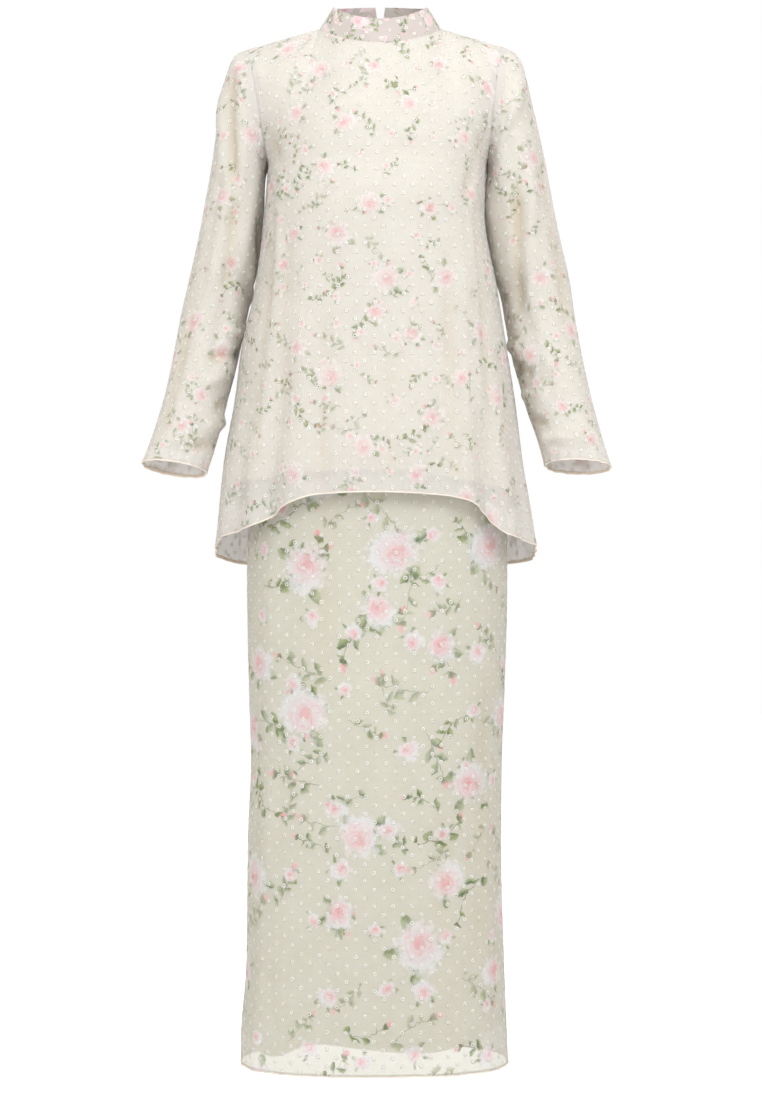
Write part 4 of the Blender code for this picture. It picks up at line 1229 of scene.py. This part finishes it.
def sleeve_place(grid):
    """Place on the cut sleeve: round it from its outer edge, and down it from the shoulder's tip."""
    wrapped = np.concatenate([grid, grid[:, :1]], axis=1)
    outer = wrapped.shape[1] // 2
    level = len(grid) * 2 // 5
    middles = grid[level:].mean(axis=1)
    down_arm = unit(middles[-1] - middles[0])
    levels, height = middles @ down_arm, wrapped @ down_arm
    axis = np.stack([np.interp(height, levels, middles[:, i]) for i in range(3)], axis=-1)
    slope = (middles[len(middles) // 4] - middles[0]) / (levels[len(middles) // 4] - levels[0])
    axis += np.minimum(height - levels[0], 0)[..., None] * slope
    spoke = wrapped - axis
    out = spoke[level, outer] - down_arm * (spoke[level, outer] @ down_arm)
    back = np.cross(down_arm, out)
    turned = np.unwrap(np.arctan2(spoke @ unit(back), spoke @ unit(out)), axis=1)
    turned -= 2 * math.pi * np.round(turned[:, outer : outer + 1] / (2 * math.pi))
    if turned[level, -1] < 0:
        turned = -turned
    length = run_lengths(wrapped, 1)
    girth = length[level:, -1]
    ring_turn, ring_length = turned[level], length[level] - length[level, outer]
    laps = [-1, 0, 1]
    ring_turn = np.concatenate([ring_turn[:-1] + 2 * math.pi * lap for lap in laps])
    ring_length = np.concatenate([ring_length[:-1] + girth[0] * lap for lap in laps])
    around = np.interp(turned, ring_turn, ring_length) * np.interp(height, levels, girth / girth[0])
    return np.stack([around, height - height[0, outer]], axis=-1)


def sleeve_tube(rings, dents, sides, ring_count):
    turn = 180 + np.arange(sides) * 360 / sides
    along = np.linspace(0, 1, ring_count + 1)[:, None] ** 1.1
    grid = sleeve_point(rings, dents, along, np.broadcast_to(turn, (ring_count + 1, sides)))
    inward = -outward_normals(grid, True)
    inward[0] = armhole(rings, turn)[1]
    return grid, inward, along


for name, rings, dents in (("left", LEFT_SLEEVE, LEFT_DENTS), ("right", RIGHT_SLEEVE, RIGHT_DENTS)):
    grid, inward, along = sleeve_tube(rings, dents, 84, 132)
    place = sleeve_place(grid)
    from_cap = run_lengths(grid, 0)
    to_wrist = from_cap[-1:] - from_cap
    grid, hollow = creased(grid, inward, place[:, :-1], SLEEVE_CREASES[name], ease((from_cap - 0.004) / 0.03))
    inner_side = ease((np.abs(place[:, :-1, 0]) - INNER_SIDE) / 0.05)
    # The sleeve's inner side, which faces the body and lies out of the light, gets painted shade as well.
    hollow = np.maximum(hollow, 0.6 * inner_side)
    down_arm = place[:, :-1, 1]
    beside = inner_side * ease((down_arm - 0.125) / 0.08) * ease((0.355 - down_arm) / 0.1)
    grid = grid - inward * (SLEEVE_REACH[name] * beside)[..., None]
    lined = along[:, 0] <= SLEEVE_LINING_END
    space = LINING_SEAM_SPACE + (SLEEVE_LINING_SPACE - LINING_SEAM_SPACE) * ease(along[lined] * 30)
    inner = grid[lined] + inward[lined] * (CAD_CLOTH + space)[..., None]
    lining = shell(
        f"sleeve_lining_{name}_cloth", inner, inward[lined], SHEET, place[lined], [BLOUSE_LINING] * 2,
        closed=True, hollow=hollow[lined],
    )
    up = unit(inner[-2] - inner[-1])
    hem = swept(
        f"sleeve_lining_{name}_hem", inner[-1], up, -inward[lined][-1], LINING_HEM, BLOUSE_LINING, closed=True
    )
    as_cloth(
        lining, "sleeve_lining_" + name, "cream_lining",
        flat=(0.33, 0.52), area=0.145, held="draped", rests_on=["collar"],
        with_pieces=[as_trim(hem)],
    )
    cap = np.maximum(from_cap - 0.006, 0) + 0.4 * np.maximum(0.006 - from_cap, 0)
    grid[1:] = puckered(grid, inward, place[:, :-1, 0], cap, 0.013, 0.45 * MM, 0.012)[1:]
    grid = puckered(grid, inward, place[:, :-1, 0], to_wrist, 0.017, 0.8 * MM, 0.018)
    finishes = [BLOUSE_CHIFFON if name == "left" else BLOUSE_BACK_CHIFFON, SHADED_CHIFFON_INSIDE]
    sleeve = shell(
        f"sleeve_{name}_chiffon", grid, inward, SHEET, place, finishes,
        closed=True, edge=np.minimum(from_cap, to_wrist), hollow=hollow,
    )
    dots = woven_dots(sleeve, 20, 62, -0.04, 21)
    up = unit(grid[-2] - grid[-1])
    hem = swept(f"cuff_hem_{name}", grid[-1], up, -inward[-1], ROLLED_HEM, HEM_FINISH, closed=True)
    down = grid[2] - grid[0]
    seam = swept(f"armhole_seam_{name}", grid[0], down, -inward[0], ALLOWANCE, SHADED_CHIFFON_INSIDE, closed=True)
    sewn = stitched(f"cuff_stitches_{name}", [grid[-1] + up * 2.5 * MM - inward[-1] * 0.42 * MM], closed=True)
    trims = [dots, as_trim(hem), as_trim(seam), sewn]
    as_cloth(
        sleeve, "sleeve_" + name, "dotted_chiffon",
        flat=(0.35, 0.57), area=0.165, held="draped", rests_on=["collar"], with_pieces=trims,
    )

# The collar: a narrow stand band of doubled chiffon, stiffened inside, folded along its top and open at
# the middle of the back.
COLLAR_CHIFFON = chiffon_material(
    "collar_chiffon", (0.655, 0.585, 0.56), 0.93, rose_radius=0.014, rose_spacing=3.4, sprig_spacing=2.8,
    rose_share=0.85, sprig_share=0.6, strength=0.95, halo=(0.84, 0.75, 0.79, 1),
)
COLLAR_WALL = 1.8 * MM
COLLAR_GAP_LOW = 2.4 * MM
COLLAR_GAP_HIGH = 13 * MM
turn = 90 + np.arange(169) * 360 / 168
rise = np.linspace(0, 1, 17)[:, None]
half = (COLLAR_GAP_LOW + (COLLAR_GAP_HIGH - COLLAR_GAP_LOW) * rise) / 2
lean = (np.exp(-np.arange(len(turn)) / 2.5) * half)[..., None] * [1, 0, 0]
grid = neck_point(np.broadcast_to(turn, (17, len(turn))), rise) - lean + lean[:, ::-1]
inward = -outward_normals(grid, False)
inward[..., 2] = 0
inward = unit(inward)
ripple = np.sin(np.radians(turn) * 9 + 0.7) + 0.6 * np.sin(np.radians(turn) * 17)
grid = grid - inward * (0.35 * MM * ripple)[..., None]
place = panel_place(grid, 0)
collar = shell(
    "collar_chiffon", grid, inward, COLLAR_WALL, place, [COLLAR_CHIFFON] * 2, edge=panel_edge(place)
)
fold = collar.modifiers.new("soft edges", "BEVEL")
fold.width, fold.segments = 0.75 * MM, 3
fold.limit_method, fold.angle_limit = "ANGLE", math.radians(50)
settled(collar)
dots = woven_dots(collar, 20, 4, 0.006, 31)
as_cloth(
    collar, "collar", "dotted_chiffon",
    flat=(0.45, 0.04), area=0.0155, held="stretched", rests_on=["blouse_front_chiffon"], with_pieces=[dots],
)

# The button and its loop, at the back of the neck: a small button covered in the lining cloth on one end
# of the collar, and a loop of twisted thread on the other. They keep their solids' shapes.
BUTTON_FINISH, w, shader = new_material("covered_button")
place = w.node("TexCoord")["Object"]
cloth = w.group(weave, place=place, pitch=0.0005)
fuzz = w.noise(place, 260.0, 3.0, 0.6)[0]
shader["Base Color"] = w.blend(fuzz, (0.88, 0.83, 0.72, 1), (0.95, 0.92, 0.84, 1))
shader["Normal"] = w.bump(0.6, 0.0005, cloth["Height"])
shader["Roughness"] = 0.42
shader["Sheen Weight"] = 0.15
for node, finish in (("neck_button", BUTTON_FINISH), ("neck_loop", THREAD_FINISH)):
    carried = bpy.data.objects[node]
    carried.data.materials.clear()
    carried.data.materials.append(finish)

# The stage: a white sweep, a large soft light from the front right, a weaker one from the left and one
# from above, and the camera straight in front at the height of the blouse's hem.
stage_finish, w, shader = new_material("white_sweep")
tone = w.node("TexNoise", w.node("TexCoord")[3], None, 1.5)[0]
shader["Base Color"] = w.blend(tone, (0.7, 0.7, 0.7, 1), (0.74, 0.74, 0.74, 1))
shader["Roughness"] = 0.9
glow = w.blend(w.node("LightPath")["Is Camera Ray"], (0, 0, 0, 1), (1, 1, 1, 1))
shader["Emission Color"] = glow
shader["Emission Strength"] = 0.56
mesh = bpy.data.meshes.new("sweep")
mesh.from_pydata([(-9, -9, -1.42), (9, -9, -1.42), (9, 9, -1.42), (-9, 9, -1.42)], [], [(0, 1, 2, 3)])
mesh.materials.append(stage_finish)
linked("floor", mesh)

world = bpy.data.worlds.new("studio")
world.use_nodes = True
w = Wiring(world.node_tree)
around = w.node("Background", (1.0, 0.945, 0.855, 1), 0.785)[0]
bright = w.node("Background", (1, 1, 1, 1), 1.0)[0]
seen = w.node("MixShader", w.node("LightPath")["Is Camera Ray"], around, bright)[0]
w.feed(w.tree.nodes["World Output"].inputs[0], seen)
bpy.context.scene.world = world
bpy.context.scene.view_settings.view_transform = "Standard"

for name, spot, aim, size, power in (
    ("key_light", (1.1, -2.0, 0.9), (0, 0, -0.15), 1.4, 31),
    ("fill_light", (-1.9, -2.4, 0.1), (0, 0, -0.3), 1.8, 23),
    ("top_light", (0.1, -0.7, 1.9), (0, 0, -0.3), 1.6, 13),
    ("back_light", (-0.6, 2.8, 0.8), (0, 0, -0.5), 2.0, 34),
):
    lamp = bpy.data.lights.new(name, "AREA")
    lamp.shape, lamp.size, lamp.energy, lamp.color = "DISK", size, power, (0.96, 1.0, 1.03)
    light = linked(name, lamp)
    light.location = spot
    away = np.array(aim) - np.array(spot)
    pitch, heading = math.atan2(away[2], math.hypot(away[0], away[1])), math.atan2(-away[0], away[1])
    light.rotation_euler = (math.pi / 2 + pitch, 0, heading)

lens = bpy.data.cameras.new("camera")
lens.sensor_fit, lens.sensor_height, lens.lens, lens.clip_end = "VERTICAL", 24, 60.42, 50
camera = linked("camera", lens)
camera.location = (0, -3.6, -0.6656)
camera.rotation_euler = (math.pi / 2, 0, 0)
bpy.context.scene.camera = camera
